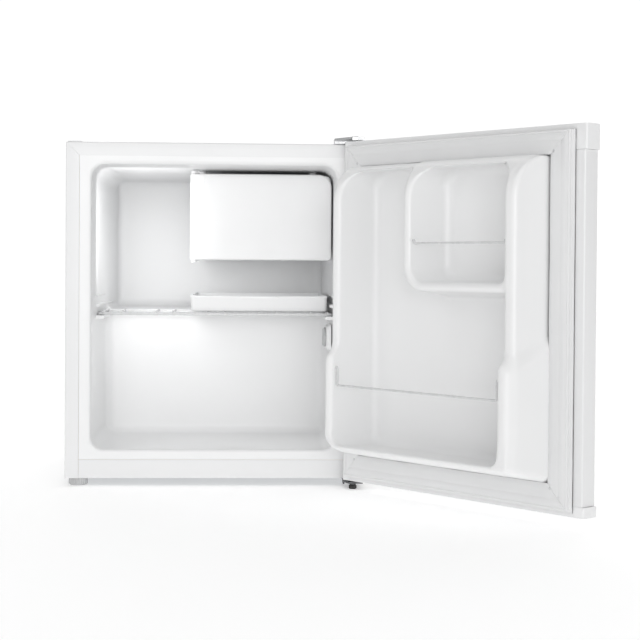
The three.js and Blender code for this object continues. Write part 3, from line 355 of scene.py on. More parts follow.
def refined(node, name, body, slot, width=0.5, angle=38.0):
    """A CAD node's shape with its flat faces whole again and its edges rounded over."""
    mesh = frame["nodes"][node].data.copy()
    mesh.name = name
    for attribute in [a for a in mesh.attributes if a.name in ("custom_normal", "sharp_edge", "sharp_face")]:
        mesh.attributes.remove(attribute)
    work = bmesh.new()
    work.from_mesh(mesh)
    bmesh.ops.remove_doubles(work, verts=work.verts, dist=2e-6)
    bmesh.ops.dissolve_limit(work, angle_limit=math.radians(1), verts=work.verts, edges=work.edges)
    limit = math.radians(angle)
    edges = [e for e in work.edges if len(e.link_faces) == 2 and e.calc_face_angle() > limit]
    bmesh.ops.bevel(work, geom=edges, offset=width * MM, segments=3, profile=0.5,
                    affect="EDGES", clamp_overlap=True)
    work.to_mesh(mesh)
    work.free()
    piece = as_piece(name, mesh, body, slot, (node,), angle)
    even = piece.modifiers.new("even normals", "WEIGHTED_NORMAL")
    even.keep_sharp = True
    return piece


# ---- outlines and solids ------------------------------------------------------------------------
def corner_arc(centre, radius, start, steps):
    """Points of a quarter circle from a start angle in quarter turns."""
    angles = [(start + i / steps) * math.pi / 2 for i in range(steps + 1)]
    return [(centre[0] + radius * math.cos(a), centre[1] + radius * math.sin(a)) for a in angles]


def rounded_outline(x0, x1, y0, y1, radii, steps=8):
    """A rectangle with rounded corners; the radii run from bottom left, anticlockwise."""
    bl, br, tr, tl = radii if isinstance(radii, (tuple, list)) else (radii,) * 4
    return [
        *corner_arc((x0 + bl, y0 + bl), bl, 2, steps),
        *corner_arc((x1 - br, y0 + br), br, 3, steps),
        *corner_arc((x1 - tr, y1 - tr), tr, 0, steps),
        *corner_arc((x0 + tl, y1 - tl), tl, 1, steps),
    ]


def loft(rings, closed=False):
    """A solid through rings of equally many points, capped at both ends or closed on itself."""
    count = len(rings[0])
    points = [point for ring in rings for point in ring]
    faces = []
    spans = len(rings) if closed else len(rings) - 1
    for r in range(spans):
        here, there = r * count, (r + 1) % len(rings) * count
        for i in range(count):
            j = (i + 1) % count
            faces.append([here + i, here + j, there + j, there + i])
    if not closed:
        faces.append(list(range(count))[::-1])
        faces.append([(len(rings) - 1) * count + i for i in range(count)])
    return points, faces


def turned(profile):
    """A solid turned about the z axis: pairs of (radius, height) from the bottom up."""
    sides = 48
    angles = [2 * math.pi * i / sides for i in range(sides)]
    return loft([[(r * math.cos(a), r * math.sin(a), height) for a in angles] for r, height in profile])


def filleted(points, radius):
    """Rounds the corners of a path in space."""
    steps = 8
    path = [Vector(p) for p in points]
    smooth = [path[0]]
    for before, at, after in zip(path, path[1:], path[2:]):
        start = at + (before - at).normalized() * radius
        end = at + (after - at).normalized() * radius
        for i in range(steps + 1):
            t = i / steps
            smooth.append(start * (1 - t) ** 2 + at * (2 * t * (1 - t)) + end * t ** 2)
    return [*smooth, path[-1]]


def rod(path, radius, sides=16):
    """A round rod along a path, with domed ends."""
    end_steps = 4
    path = [Vector(p) for p in path]
    first = (path[1] - path[0]).normalized()
    last = (path[-1] - path[-2]).normalized()
    dome = [(math.cos(math.pi / 2 * i / end_steps), math.sin(math.pi / 2 * i / end_steps))
            for i in range(1, end_steps)]
    stations = [(path[0] - first * radius * s, first, c) for c, s in reversed(dome)]
    for i, point in enumerate(path):
        along = (path[min(i + 1, len(path) - 1)] - path[max(i - 1, 0)]).normalized()
        stations.append((point, along, 1))
    stations += [(path[-1] + last * radius * s, last, c) for c, s in dome]
    across = first.orthogonal()
    rings = []
    for point, along, scale in stations:
        across = (across - along * across.dot(along)).normalized()
        upward = along.cross(across)
        angles = [2 * math.pi * i / sides for i in range(sides)]
        rings.append([
            tuple(point + (across * math.cos(a) + upward * math.sin(a)) * radius * scale)
            for a in angles
        ])
    return loft(rings)


def bent_path(points, radii, steps):
    """A path in the plane with its inner corners rounded to true arcs."""
    corners = [Vector(p) for p in points]
    path = [corners[0]]
    for before, at, after, radius in zip(corners, corners[1:], corners[2:], radii):
        back, on = (before - at).normalized(), (after - at).normalized()
        half = back.angle(on) / 2
        middle = at + (back + on).normalized() * radius / math.sin(half)
        start = at + back * radius / math.tan(half)
        turn = (at + on * radius / math.tan(half) - middle)
        swing = (start - middle).angle_signed(turn)
        for i in range(steps + 1):
            path.append(middle + Matrix.Rotation(-swing * i / steps, 2) @ (start - middle))
    return [*path, corners[-1]]


def bent_sheet(points, radii, thickness, steps=6):
    """The closed outline of a sheet bent along a path; its thickness lies to the path's left."""
    path = bent_path(points, radii, steps)
    inside = []
    for i, point in enumerate(path):
        along = (path[min(i + 1, len(path) - 1)] - path[max(i - 1, 0)]).normalized()
        inside.append(point + Vector((-along.y, along.x)) * thickness)
    return [tuple(p) for p in path] + [tuple(p) for p in reversed(inside)]


# ---- rounded forms as distance fields -----------------------------------------------------------
def rounded_rect(x, y, edges, radii):
    """Distance to a rectangle with a radius at each corner, from bottom left, anticlockwise."""
    x0, x1, y0, y1 = edges
    bl, br, tr, tl = radii
    px, py = x - (x0 + x1) / 2, y - (y0 + y1) / 2
    r = np.where(px < 0, np.where(py < 0, bl, tl), np.where(py < 0, br, tr))
    qx, qy = np.abs(px) - (x1 - x0) / 2 + r, np.abs(py) - (y1 - y0) / 2 + r
    return np.minimum(np.maximum(qx, qy), 0) + np.hypot(np.maximum(qx, 0), np.maximum(qy, 0)) - r


def blended(a, b, r):
    """Either form, with a fillet of radius r where they meet."""
    return np.maximum(r, np.minimum(a, b)) - np.hypot(np.maximum(r - a, 0), np.maximum(r - b, 0))


def common(a, b, r):
    """Where both forms are, with its new edge rounded to radius r."""
    return np.minimum(-r, np.maximum(a, b)) + np.hypot(np.maximum(r + a, 0), np.maximum(r + b, 0))


def smooth_step(value, start, end):
    """0 before the start and 1 past the end, whichever way they lie."""
    t = np.clip((value - start) / (end - start), 0, 1)
    return t * t * (3 - 2 * t)


def gradient(field, points):
    """The field's slope at each point."""
    step = 0.05
    slopes = []
    for axis in range(3):
        ahead, behind = points.copy(), points.copy()
        ahead[:, axis] += step
        behind[:, axis] -= step
        slopes.append((field(*ahead.T) - field(*behind.T)) / (2 * step))
    return np.stack(slopes, 1)


def surface_net(field, low, high, step):
    """Points and quads of the surface where field(x, y, z) is 0, facing where it is above 0. The
    box from low to high cuts it open."""
    counts = [max(2, round((b - a) / step)) for a, b in zip(low, high)]
    lines = [np.linspace(a, b, n + 1) for a, b, n in zip(low, high, counts)]
    values = field(*np.meshgrid(*lines, indexing="ij"))
    total = np.zeros((*counts, 3))
    crossings = np.zeros(counts)
    faces = []
    number = np.full(counts, -1)
    crossed = []
    for axis in range(3):
        one, two = [a for a in range(3) if a != axis]
        near, far = [slice(None)] * 3, [slice(None)] * 3
        near[axis], far[axis] = slice(0, -1), slice(1, None)
        start, end = values[tuple(near)], values[tuple(far)]
        cross = (start < 0) != (end < 0)
        crossed.append((axis, one, two, cross, start < 0))
        share = np.where(cross, start / np.where(cross, start - end, 1), 0)
        for i in (0, 1):
            for j in (0, 1):
                pick = [slice(None)] * 3
                pick[one], pick[two] = slice(i, i + counts[one]), slice(j, j + counts[two])
                here = cross[tuple(pick)]
                crossings += here
                total[..., axis] += here * share[tuple(pick)]
                total[..., one] += here * i
                total[..., two] += here * j
    cells = np.argwhere(crossings > 0)
    number[tuple(cells.T)] = np.arange(len(cells))
    inside_cell = total[tuple(cells.T)] / crossings[tuple(cells.T)][:, None]
    size = np.array([line[1] - line[0] for line in lines])
    points = np.array(low) + (cells + inside_cell) * size
    for axis, one, two, cross, starts_inside in crossed:
        edges = np.argwhere(cross)
        keep = (edges[:, one] > 0) & (edges[:, one] < counts[one])
        keep &= (edges[:, two] > 0) & (edges[:, two] < counts[two])
        edges = edges[keep]
        around = []
        for i, j in ((1, 1), (0, 1), (0, 0), (1, 0)):
            cell = edges.copy()
            cell[:, one] -= i
            cell[:, two] -= j
            around.append(number[tuple(cell.T)])
        quads = np.stack(around, 1)
        flip = starts_inside[tuple(edges.T)] == (axis == 1)
        quads[flip] = quads[flip][:, ::-1]
        faces.append(quads)
    for axis in range(3):
        points[cells[:, axis] == 0, axis] = low[axis]
        points[cells[:, axis] == counts[axis] - 1, axis] = high[axis]
    return points, np.concatenate(faces)


def settled(field, points, free):
    """Moves points onto the surface; free tells which axes each may move along."""
    for _ in range(3):
        slope = gradient(field, points) * free
        length = np.maximum((slope ** 2).sum(1), 0.05)
        points = points - slope * np.clip(field(*points.T) / length, -1.5, 1.5)[:, None]
    return points


def formed_sheet(name, field, low, high, step, wall, place, body, slot, replaces):
    """A sheet of even thickness formed over a field's surface, with true normals."""
    points, quads = surface_net(field, low, high, step)
    free = np.ones_like(points)
    for axis in range(3):
        free[(points[:, axis] <= low[axis]) | (points[:, axis] >= high[axis]), axis] = 0
    points = settled(field, points, free)
    normals = gradient(field, points)
    normals /= np.maximum(np.linalg.norm(normals, axis=1), 1e-6)[:, None]
    behind = points - normals * wall * np.where(free < 1, 0, 1)
    count = len(points)
    edges = {}
    for a, b in zip(quads.ravel(), np.roll(quads, -1, axis=1).ravel()):
        edges[(a, b)] = True
    rim = [[a, a + count, b + count, b] for a, b in edges if (b, a) not in edges]
    faces = quads.tolist() + (quads[:, ::-1] + count).tolist() + rim
    obj = shape(name, (np.concatenate([points, behind]), faces), place, body, slot, replaces, None)
    obj.data.shade_smooth()
    turn = np.array(place)[:3, :3] / MM
    all_normals = np.concatenate([normals, -normals]) @ turn.T
    obj.data.normals_split_custom_set_from_vertices(all_normals.tolist())
    return obj


# ---- cabinet ------------------------------------------------------------------------------------
def cavity_space(x, y, z):
    """The space inside the cabinet: an L-shaped side view between two drafted walls."""
    ceiling = z - (CAVITY_TOP - TOP_DRAFT * y)
    floor = (CAVITY_FLOOR + FLOOR_DRAFT * y) - z
    back = y - CAVITY_DEPTH
    hump = common(HUMP_DEPTH - y, z - HUMP_TOP, 7)
    side_view = common(common(common(ceiling, back, 9), floor, 10), -hump, 13)
    wall = CAVITY_SIDE + SIDE_DRAFT * y
    across = np.abs(x - WIDTH / 2) - (WIDTH / 2 - wall)
    low = smooth_step(z, HUMP_TOP + 12, HUMP_TOP - 12)
    radius = 20 - 11 * smooth_step(y, 335, 372) * (1 - low)
    on_hump = smooth_step(y, 192, 214) * smooth_step(z, HUMP_TOP + 48, HUMP_TOP + 18)
    radius = radius + (7 - radius) * on_hump
    return common(across, side_view, radius)


def cabinet_liner_field(x, y, z):
    return common(-cavity_space(x, y, z), -y, 3.2)


def inner_liner():
    step = 4.0
    low = (FLANGE + GAP, -2.3 * step, RAIL_HEIGHT + GAP)
    high = (WIDTH - FLANGE - GAP, CAVITY_DEPTH + 2.3 * step, HEIGHT - FLANGE - GAP)
    formed_sheet("inner_liner_formed", cabinet_liner_field, low, high, step, LINER_WALL, CABINET,
                 "cabinet", "liner_plastic", ("inner_liner",))


def wall_at(depth):
    return CAVITY_SIDE + SIDE_DRAFT * depth


def ledge_bar(y0, y1, z0, z1, reach, side):
    """A ledge on a side wall, with its free edge and its rear end rounded."""
    radius = min((z1 - z0) / 2 - 0.05, 2.2)
    rings = []
    ends = [(y0, 0), (y1 - reach, 0), (y1 - reach * 0.3, reach * 0.35), (y1, reach * 0.8)]
    for y, pulled_in in ends:
        foot, tip = wall_at(y) - 0.4, wall_at(y0) + reach - pulled_in
        outline = rounded_outline(foot, tip, z0, z1, (0.05, radius, radius, 0.05), 5)
        if side > 0:
            outline = [(WIDTH - x, z) for x, z in reversed(outline)]
        rings.append([(x, y, z) for x, z in outline])
    return loft(rings[::-1])


def shelf_ledges():
    """On each side the ledge that carries the shelf, a rib over it and a thin guide line."""
    for label, side in (("left", -1), ("right", 1)):
        bars = joined(
            ledge_bar(LEDGE_FRONT, HUMP_DEPTH + LINER_WALL / 2, SHELF_LEDGE - 5, SHELF_LEDGE, 12.2, side),
            ledge_bar(LEDGE_FRONT, 290, SHELF_LEDGE + 13.5, SHELF_LEDGE + 18, 5.6, side),
            ledge_bar(LEDGE_FRONT, 178, SHELF_LEDGE + 29.5, SHELF_LEDGE + 31.7, 2.6, side),
        )
        shape(f"shelf_ledges_{label}", bars, CABINET, "cabinet", "liner_plastic")


def outer_shell():
    """The folded wrapper: two sides and the top, with front flanges that meet in mitred seams."""
    rear = 425.7
    section = bent_sheet([(12, rear), (0, rear), (0, 0), (FLANGE, 0)], (2.0, 2.4), SHEET)
    fold_radius, seam_from, seam_half, seam_sunk = 3.0, 3.5, 0.22, 0.8
    top = HEIGHT - 0.25

    def corner(inset, y):
        """The section point's way round the top left corner, from below."""
        if inset <= fold_radius:
            r = fold_radius - inset
            turn = [step / 8 * math.pi / 2 for step in range(9)]
            return [(fold_radius - r * math.cos(a), y, top - fold_radius + r * math.sin(a)) for a in turn]
        sunk = seam_sunk if y < SHEET + 0.5 and inset > seam_from else 0
        at = (inset, y + sunk, top - inset)
        return [(inset, y, top - inset - seam_half), *[at] * 7, (inset + seam_half, y, top - inset)]

    rails = []
    for inset, y in section:
        left = [(inset, y, 0), *corner(inset, y)]
        rails.append(left + [(WIDTH - x, y, z) for x, y, z in reversed(left)])
    return loft([list(ring) for ring in zip(*rails)])


def cabinet():
    obj = shape("outer_shell_folded", outer_shell(), CABINET, "cabinet", "painted_steel", ("outer_shell",))
    merge(obj)
    rail = bent_sheet([(8, 0), (0, 0), (0, RAIL_HEIGHT)], (1.6,), -SHEET)
    x0, x1 = FLANGE + GAP, WIDTH - FLANGE - GAP
    rings = [[(x, y, z) for y, z in rail] for x in (x0, x1)]
    shape("front_bottom_rail_folded", loft(rings), CABINET, "cabinet", "painted_steel",
          ("front_bottom_rail",))
    refined("back_panel", "back_panel_pressed", "cabinet", "galvanised_steel", 0.7)
    refined("bottom_panel", "bottom_panel_folded", "cabinet", "galvanised_steel", 0.3)
    refined("hinge_hole_plug", "hinge_hole_plug_cap", "cabinet", "white_plastic", 0.4)
    inner_liner()
    shelf_ledges()


def merge(obj):
    """Joins points that lie together and drops the faces that this closes up."""
    work = bmesh.new()
    work.from_mesh(obj.data)
    bmesh.ops.remove_doubles(work, verts=work.verts, dist=1e-6)
    bmesh.ops.recalc_face_normals(work, faces=work.faces)
    work.to_mesh(obj.data)
    work.free()


# ---- door ---------------------------------------------------------------------------------------
def between(a, b, t):
    return [p + (q - p) * t for p, q in zip(a, b)]


def door_form(u, n, z, base, front, depth):
    """Distance to the walls of a drafted form that stands out of the door as far as depth."""
    t = np.clip((n - LINER_FACE) / (depth - LINER_FACE), -0.2, 1.3)
    edges = between(base[:4], front[:4], t)
    radii = between(base[4], front[4], np.clip(t, 0, 1))
    return rounded_rect(u, z, edges, radii)


def door_profile(n, z, depth):
    """The side view of the rims: their upper front corner is widely rounded."""
    return rounded_rect(n, z, (-300, depth, -300, DYKE_TOP), (1, 1, depth - 27, 1))


# Outlines of the liner's forms: u from and to, z from and to, and the corner radii from bottom left,
# anticlockwise. The first of each pair is at the liner's face and the second at the form's front.
UPPER_RIM = ((35, 377, 44.5, 480, (28, 6, 6, 12)), (38, 373, 60, 480, (28, 6, 6, 14)))
LOWER_RIM = ((35, 377, 44.5, 220, (28, 6, 3, 3)), (38.4, 372.6, 61.5, 194, (24, 7, 14, 14)))
RECESS = ((56, 351, 60, 452, (16, 12, 24, 26)), (52, 356, 67, 450, (16, 12, 24, 28)))
POCKET_WALL = ((168, 362, 277, 480, (36, 2, 2, 10)), (175, 362, 285, 480, (33, 2, 2, 10)))
POCKET = ((196, 350, 299, 451, (22, 12, 24, 24)), (184, 355, 295, 449, (25, 12, 24, 28)))
POCKET_WALL_DEPTH = DYKE_UPPER - 3
HOLLOW_DEPTH = 105  # past the rims, so that the hollows are open


def door_liner_field(u, n, z):
    edge = 2.4 + 4.2 * smooth_step(z, 64, 100) * smooth_step(z, 452, 428)
    inner_edge = np.minimum(edge, 5.0)
    rim = door_form(u, n, z, *UPPER_RIM, DYKE_UPPER)
    rim = common(rim, door_profile(n, z, DYKE_UPPER), edge)
    lower = door_form(u, n, z, *LOWER_RIM, DYKE_LOWER)
    lower = common(lower, n - DYKE_LOWER, edge)
    body = blended(blended(rim, lower, 14), n - LINER_FACE, 3)
    recess = door_form(u, n, z, *RECESS, HOLLOW_DEPTH)
    body = common(body, -common(recess, LINER_FACE - n, 11), edge)
    wall = door_form(u, n, z, *POCKET_WALL, POCKET_WALL_DEPTH)
    wall = common(wall, door_profile(n, z, POCKET_WALL_DEPTH), inner_edge)
    body = blended(body, wall, 5)
    pocket = door_form(u, n, z, *POCKET, HOLLOW_DEPTH)
    return common(body, -common(pocket, LINER_FACE - n, 13), inner_edge)


def door_liner():
    u0, u1, z0, z1 = LINER_EDGES
    step = 3.4
    low, high = (u0, LINER_FACE - 2.3 * step, z0), (u1, DYKE_LOWER + 2.3 * step, z1)
    formed_sheet("door_liner_formed", door_liner_field, low, high, step, LINER_WALL, DOOR,
                 "door", "liner_plastic", ("door_liner",))


# (inset, n) round the section; the lip reaches inwards at the face
GASKET_PROFILE = (
    (0, 10.2), (0, 12.6), (0.9, 13.8), (0.5, 15.2), (1.5, 16.2), (0.7, 17.4), (0.6, 19.6), (1.0, 21.2),
    (2.0, 21.8), (2.9, 21.5), (3.5, 21.2), (4.1, 21.5), (5.0, 21.9), (9, 21.9), (12.6, 21.9),
    (13.6, 21.5), (14.6, 21.8), (18, 21.8), (24, 21.7), (29.5, 21.5), (30.4, 21.1), (30.7, 20.5),
    (30.3, 19.9), (29, 19.7), (16.2, 18.2), (15.2, 16.8),
    (15.4, 14), (16.6, 12.4), (20, 11.2), (20, 10.3), (14, 10.3),
)
GASKET_EDGES = {"bottom": 3.5, "free": 0.0, "top": 0.0, "hinge": 0.0}  # its outer edge, inside the liner's
GASKET_LIPS = {"bottom": 36.0, "free": 31.2, "top": 31.4, "hinge": 31.2}  # how far in the lip reaches


def gasket_rings():
    """Section rings round the gasket, with a groove at each mitre and a slight waviness."""
    u0, u1, z0, z1 = LINER_EDGES
    lip_from, lip_to = 16.0, 30.7

    def reach(side, inset):
        edge, lip = GASKET_EDGES[side], GASKET_LIPS[side]
        if inset <= lip_from:
            return inset + edge
        return lip_from + edge + (inset - lip_from) * (lip - edge - lip_from) / (lip_to - lip_from)

    def corner(sides, inset):
        u = u0 + reach("hinge", inset) if "hinge" in sides else u1 - reach("free", inset)
        z = z0 + reach("bottom", inset) if "bottom" in sides else z1 - reach("top", inset)
        return u, z

    sides = (("hinge", "bottom", "free"), ("bottom", "free", "top"),
             ("free", "top", "hinge"), ("top", "hinge", "bottom"))
    groove, steps = 0.0014, 36
    fractions = [0, groove, 0.02] + [i / steps for i in range(1, steps)] + [0.98, 1 - groove]
    rings = []
    for number, (before, side, after) in enumerate(sides):
        for fraction in fractions:
            phase = fraction * 2 * math.pi
            wave = math.sin(3 * phase + number) + 0.6 * math.sin(7 * phase + 2 * number)
            fade = math.sin(math.pi * fraction)
            ring = []
            for inset, n in GASKET_PROFILE:
                start, end = corner((before, side), inset), corner((side, after), inset)
                u, z = between(start, end, fraction)
                if n > 12.6:
                    n -= 0.06 * (1 + wave / 2) * fade
                    if fraction == 0:
                        n -= 0.7
                shift = 0.2 * wave * fade * (inset / 24)
                if side in ("bottom", "top"):
                    z += shift
                else:
                    u += shift
                ring.append((u, n, z))
            rings.append(ring)
    return rings


def door_skin():
    """The steel pan: outer face, rounded edges, and bands folded in round the liner."""
    free, hinge_edge, outer, inner, band = 425.0, -13.0, -20.8, 8.4, 14.3
    section = bent_sheet(
        [(free - band, inner), (free, inner), (free, outer), (hinge_edge, outer), (hinge_edge, inner),
         (hinge_edge + band, inner)],
        (2.4, 6, 6, 2.4), -SHEET, 8)
    return loft([[(u, n, z) for u, n in section] for z in (15.1, 466.3)])


def guard_wire(guard):
    """A wire whose ends turn in two holes while its middle hangs below them."""
    into_wall, shoulder, radius = 6, 4, 1.5
    z, n, drop = guard["z"], guard["n"], guard["drop"]
    start, end = guard["start"], guard["end"]
    path = [
        (start - into_wall, n, z), (start + shoulder, n, z), (start + shoulder, n, z - drop),
        (end - shoulder, n, z - drop), (end - shoulder, n, z), (end + into_wall, n, z),
    ]
    return rod(filleted(path, min(3.5, drop / 2.2)), radius)


def guard_eye(guard, at_start):
    """The pressed rim round a guard wire's hole in the liner."""
    u = guard["start"] - 0.4 if at_start else guard["end"] + 0.4
    out = 1 if at_start else -1
    profile = [(4.6, -0.8), (4.4, 0.1), (3.6, 0.75), (2.9, 0.9), (2.3, 0.6), (2.1, -0.2), (2.0, -0.8)]
    rings = []
    for radius, height in profile:
        rings.append([
            (u + out * height, guard["n"] + radius * math.cos(a), guard["z"] + radius * math.sin(a))
            for a in [2 * math.pi * i / 32 for i in range(32)]
        ])
    return loft(rings, closed=True)


def cross_recess(angle):
    return 0.5 + 0.5 * abs(math.cos(2 * angle)) ** 6


def screw_head(u, z):
    """A small round head with a cross recess, let into the gasket's lip."""
    profile = [(2.0, -6), (2.0, 0.6), (1.8, 1.1), (1.35, 1.4)]
    recess = [(1.3, 1.4), (1.15, 0.8), (0.7, 0.2), (0.25, 0.1)]
    rings = []
    for part, flute in ((profile, None), (recess, cross_recess)):
        for radius, height in part:
            ring = []
            for i in range(48):
                a = 2 * math.pi * i / 48
                r = radius * (flute(a) if flute else 1)
                ring.append((u + r * math.cos(a), SCREW_SEAT + height, z + r * math.sin(a)))
            rings.append(ring)
    return loft(rings)


def door():
    shape("door_skin_folded", door_skin(), DOOR, "door", "painted_steel", ("door_skin",))
    refined("door_top_cap", "door_top_cap_moulded", "door", "white_plastic", 0.9)
    refined("door_bottom_cap", "door_bottom_cap_moulded", "door", "white_plastic", 0.9)
    refined("door_top_bush", "door_top_bush_moulded", "door", "grey_plastic", 0.3)
    refined("door_bottom_bush", "door_bottom_bush_moulded", "door", "grey_plastic", 0.3)
    door_liner()
    gasket = shape("door_gasket_extruded", loft(gasket_rings(), closed=True), DOOR, "door", "gasket_vinyl",
                   ("door_gasket",), 50)
    merge(gasket)
    for i, (u, z) in enumerate(LINER_SCREWS, 1):
        head = shape(f"liner_screw_{i}_head", screw_head(u, z), DOOR, "door", "zinc_steel",
                     (f"liner_screw_{i}",))
        merge(head)
    for name, guard in (("bottle_guard", BOTTLE_GUARD), ("pocket_guard", POCKET_GUARD)):
        wire = shape(f"{name}_wire", guard_wire(guard), DOOR, name, "coated_wire", (name,), 60)
        merge(wire)
        for end, at_start in (("left", True), ("right", False)):
            eye = shape(f"{name}_eye_{end}", guard_eye(guard, at_start), DOOR, "door", "liner_plastic")
            merge(eye)


# ---- inside the cabinet -------------------------------------------------------------------------
FLAP_EDGES = (179.8, 397.3, 324.6, 456.9)  # x and z
STRIP_EDGE = 202.6  # the hinge strip's edge
FLAP_FRONT, FLAP_BACK = 80.0, 91.5
FLAP_AXIS = (186, 86)  # x and y of its pins


def flap_field(x, y, z):
    """A panel with a faintly hollow face, a curved hinge strip and a dished back."""
    outline = rounded_rect(x, z, FLAP_EDGES, (3.2, 6, 20, 3.2))
    x0, x1, z0, z1 = FLAP_EDGES
    across = np.clip((x - STRIP_EDGE) / (x1 - STRIP_EDGE), 0, 1)
    upward = np.clip((z - z0) / (z1 - z0), 0, 1)
    hollow = 0.9 * 16 * across * (1 - across) * upward * (1 - upward)
    strip = 4.2 * (np.clip(STRIP_EDGE - x, 0, 30) / 23) ** 2
    groove = 0.35 * np.exp(-((x - STRIP_EDGE) / 0.9) ** 2)
    front = FLAP_FRONT + hollow + strip + groove - y
    panel = common(common(outline, front, 2.6), y - FLAP_BACK, 0.8)
    dish = rounded_rect(x, z, (x0 + 16, x1 - 3, z0 + 3, z1 - 3), (3, 4, 17, 3))
    dish_floor = FLAP_FRONT + 4.5
    return common(panel, -common(dish, dish_floor - y, 2), 0.8)


def freezer_flap():
    x0, x1, z0, z1 = FLAP_EDGES
    low, high = (x0 - 3, FLAP_FRONT - 2.8, z0 - 3), (x1 + 3, FLAP_BACK + 2.9, z1 + 3)
    points, quads = surface_net(flap_field, low, high, 1.7)
    points = settled(flap_field, points, np.ones_like(points))
    normals = gradient(flap_field, points)
    normals /= np.maximum(np.linalg.norm(normals, axis=1), 1e-6)[:, None]
    panel = shape("freezer_flap_moulded", (points, quads.tolist()), CABINET, "freezer_flap", "white_plastic",
                  ("freezer_flap",), None)
    panel.data.shade_smooth()
    panel.data.normals_split_custom_set_from_vertices(normals.tolist())
    for end, z, rise in (("top", z1, 1), ("bottom", z0, -1)):
        pin = turned([(4.2, -1), (4.2, 0.2), (1.9, 0.5), (1.9, 3.2), (1.5, 3.4)])
        points = [(FLAP_AXIS[0] + x, FLAP_AXIS[1] + y, z + rise * h) for x, y, h in pin[0]]
        faces = pin[1] if rise > 0 else [f[::-1] for f in pin[1]]
        shape(f"freezer_flap_pin_{end}", (points, faces), CABINET, "freezer_flap", "white_plastic")


def drip_tray():
    """A thin moulded tray with a rolled rim and a finger lip on its front."""
    x0, x1, y0, y1 = 180.4, 392.0, 80.0, 322.0
    profile = (
        (5, 5, 245.9), (2.2, 5, 246.1), (1.2, 5.5, 247.1), (0.5, 6, 266.8), (0.1, 6, 267.3), (0, 6, 268.4),
        (0.3, 6, 269.3), (0.9, 5.6, 269.6), (1.7, 5.2, 269.4), (2.1, 5, 268.6), (2.9, 5, 249.6),
        (4.2, 4.6, 248.2), (7, 4, 247.9),
    )
    rings = []
    for inset, radius, z in profile:
        outline = rounded_outline(x0 + inset, x1 - inset, y0 + inset, y1 - inset, radius, 8)
        rings.append([(x, y, z) for x, y in outline])
    shape("drip_tray_moulded", loft(rings), CABINET, "drip_tray", "white_plastic", ("drip_tray",), 50)
    middle = (x0 + x1) / 2
    outline = rounded_outline(middle - 28, middle + 28, 78.1, 81.4, (1.6, 1.6, 0.2, 0.2), 5)
    rings = [[(x, y, z) for x, y in outline] for z in (265.7, 268.4)]
    shape("drip_tray_lip", loft(rings), CABINET, "drip_tray", "white_plastic")


def wire_shelf():
    """Two rails joined by wires in pairs, whose ends are pressed onto the rails."""
    front, back = 78.0, 186.0
    rail_radius, side_radius, wire_radius = 2.2, 1.8, 1.3
    pair_step, pair_half = 79.8, 13.4
    rail_z = SHELF_LEDGE + GAP + rail_radius
    wire_z = rail_z + rail_radius + wire_radius - 0.8
    rods = []
    for y, clear in ((front, 1.2), (back, 1.8)):
        end = wall_at(y) + clear + rail_radius
        rods.append(rod([(end, y, rail_z), (WIDTH - end, y, rail_z)], rail_radius, 20))
    for pair in range(-2, 3):
        for side in (-1, 1):
            x = WIDTH / 2 + pair * pair_step + side * pair_half
            path = [(x, y, wire_z) for y in (front - 0.6, front + 6, back - 6, back + 0.6)]
            rods.append(rod(path, wire_radius, 14))
    for end in (wall_at(front) + 5.2, WIDTH - wall_at(front) - 5.2):
        rods.append(rod([(end, front, rail_z), (end, back, rail_z)], side_radius))
    obj = shape("wire_shelf_coated", joined(*rods), CABINET, "wire_shelf", "coated_wire",
                ("wire_shelf",), 60)
    merge(obj)


def interior():
    refined("freezer_box", "freezer_box_formed", "cabinet", "aluminium", 0.5)
    refined("freezer_frame", "freezer_frame_moulded", "cabinet", "white_plastic", 0.6)
    for i in range(1, 5):
        refined(f"freezer_hanger_{i}", f"freezer_hanger_{i}_moulded", "cabinet", "white_plastic", 0.3)
    freezer_flap()
    drip_tray()
    wire_shelf()
    refined("thermostat_housing", "thermostat_housing_moulded", "cabinet", "white_plastic", 1.0)
    refined("thermostat_knob", "thermostat_knob_moulded", "thermostat_knob", "grey_plastic", 0.35)


# ---- hinges, feet and the compressor bay --------------------------------------------------------
def hinges_and_feet():
    refined("top_hinge_bracket", "top_hinge_bracket_pressed", "cabinet", "zinc_steel", 0.5)
    refined("top_hinge_pin", "top_hinge_pin_turned", "cabinet", "zinc_steel", 0.35)
    refined("lower_hinge_bracket", "lower_hinge_bracket_pressed", "cabinet", "dark_steel", 0.5)
    refined("lower_hinge_pin", "lower_hinge_pin_turned", "cabinet", "dark_steel", 0.35)
    for i in (1, 2):
        refined(f"top_hinge_screw_{i}", f"top_hinge_screw_{i}_head", "cabinet", "zinc_steel", 0.25)
        refined(f"lower_hinge_screw_{i}", f"lower_hinge_screw_{i}_head", "cabinet", "dark_steel", 0.25)
    refined("front_left_foot", "front_left_foot_moulded", "front_left_foot", "grey_plastic", 0.3)
    refined("front_right_foot", "front_right_foot_moulded", "front_right_foot", "black_rubber", 0.25)
    for side in ("left", "right"):
        refined(f"rear_{side}_foot", f"rear_{side}_foot_moulded", "cabinet", "grey_plastic", 0.5)


def compressor_bay():
    refined("compressor_base_plate", "compressor_base_plate_folded", "cabinet", "galvanised_steel", 0.3)
    refined("compressor", "compressor_shell", "cabinet", "black_paint", 0.8)
    for i in range(1, 5):
        refined(f"compressor_grommet_{i}", f"compressor_grommet_{i}_moulded", "cabinet", "black_rubber", 0.4)
    refined("relay_cover", "relay_cover_moulded", "cabinet", "white_plastic", 1.2)
    for node in ("suction_tube", "discharge_tube", "filter_dryer"):
        refined(node, f"{node}_drawn", "cabinet", "copper", 0.3, angle=50)
    refined("cord_gland", "cord_gland_moulded", "cabinet", "black_rubber", 0.4)


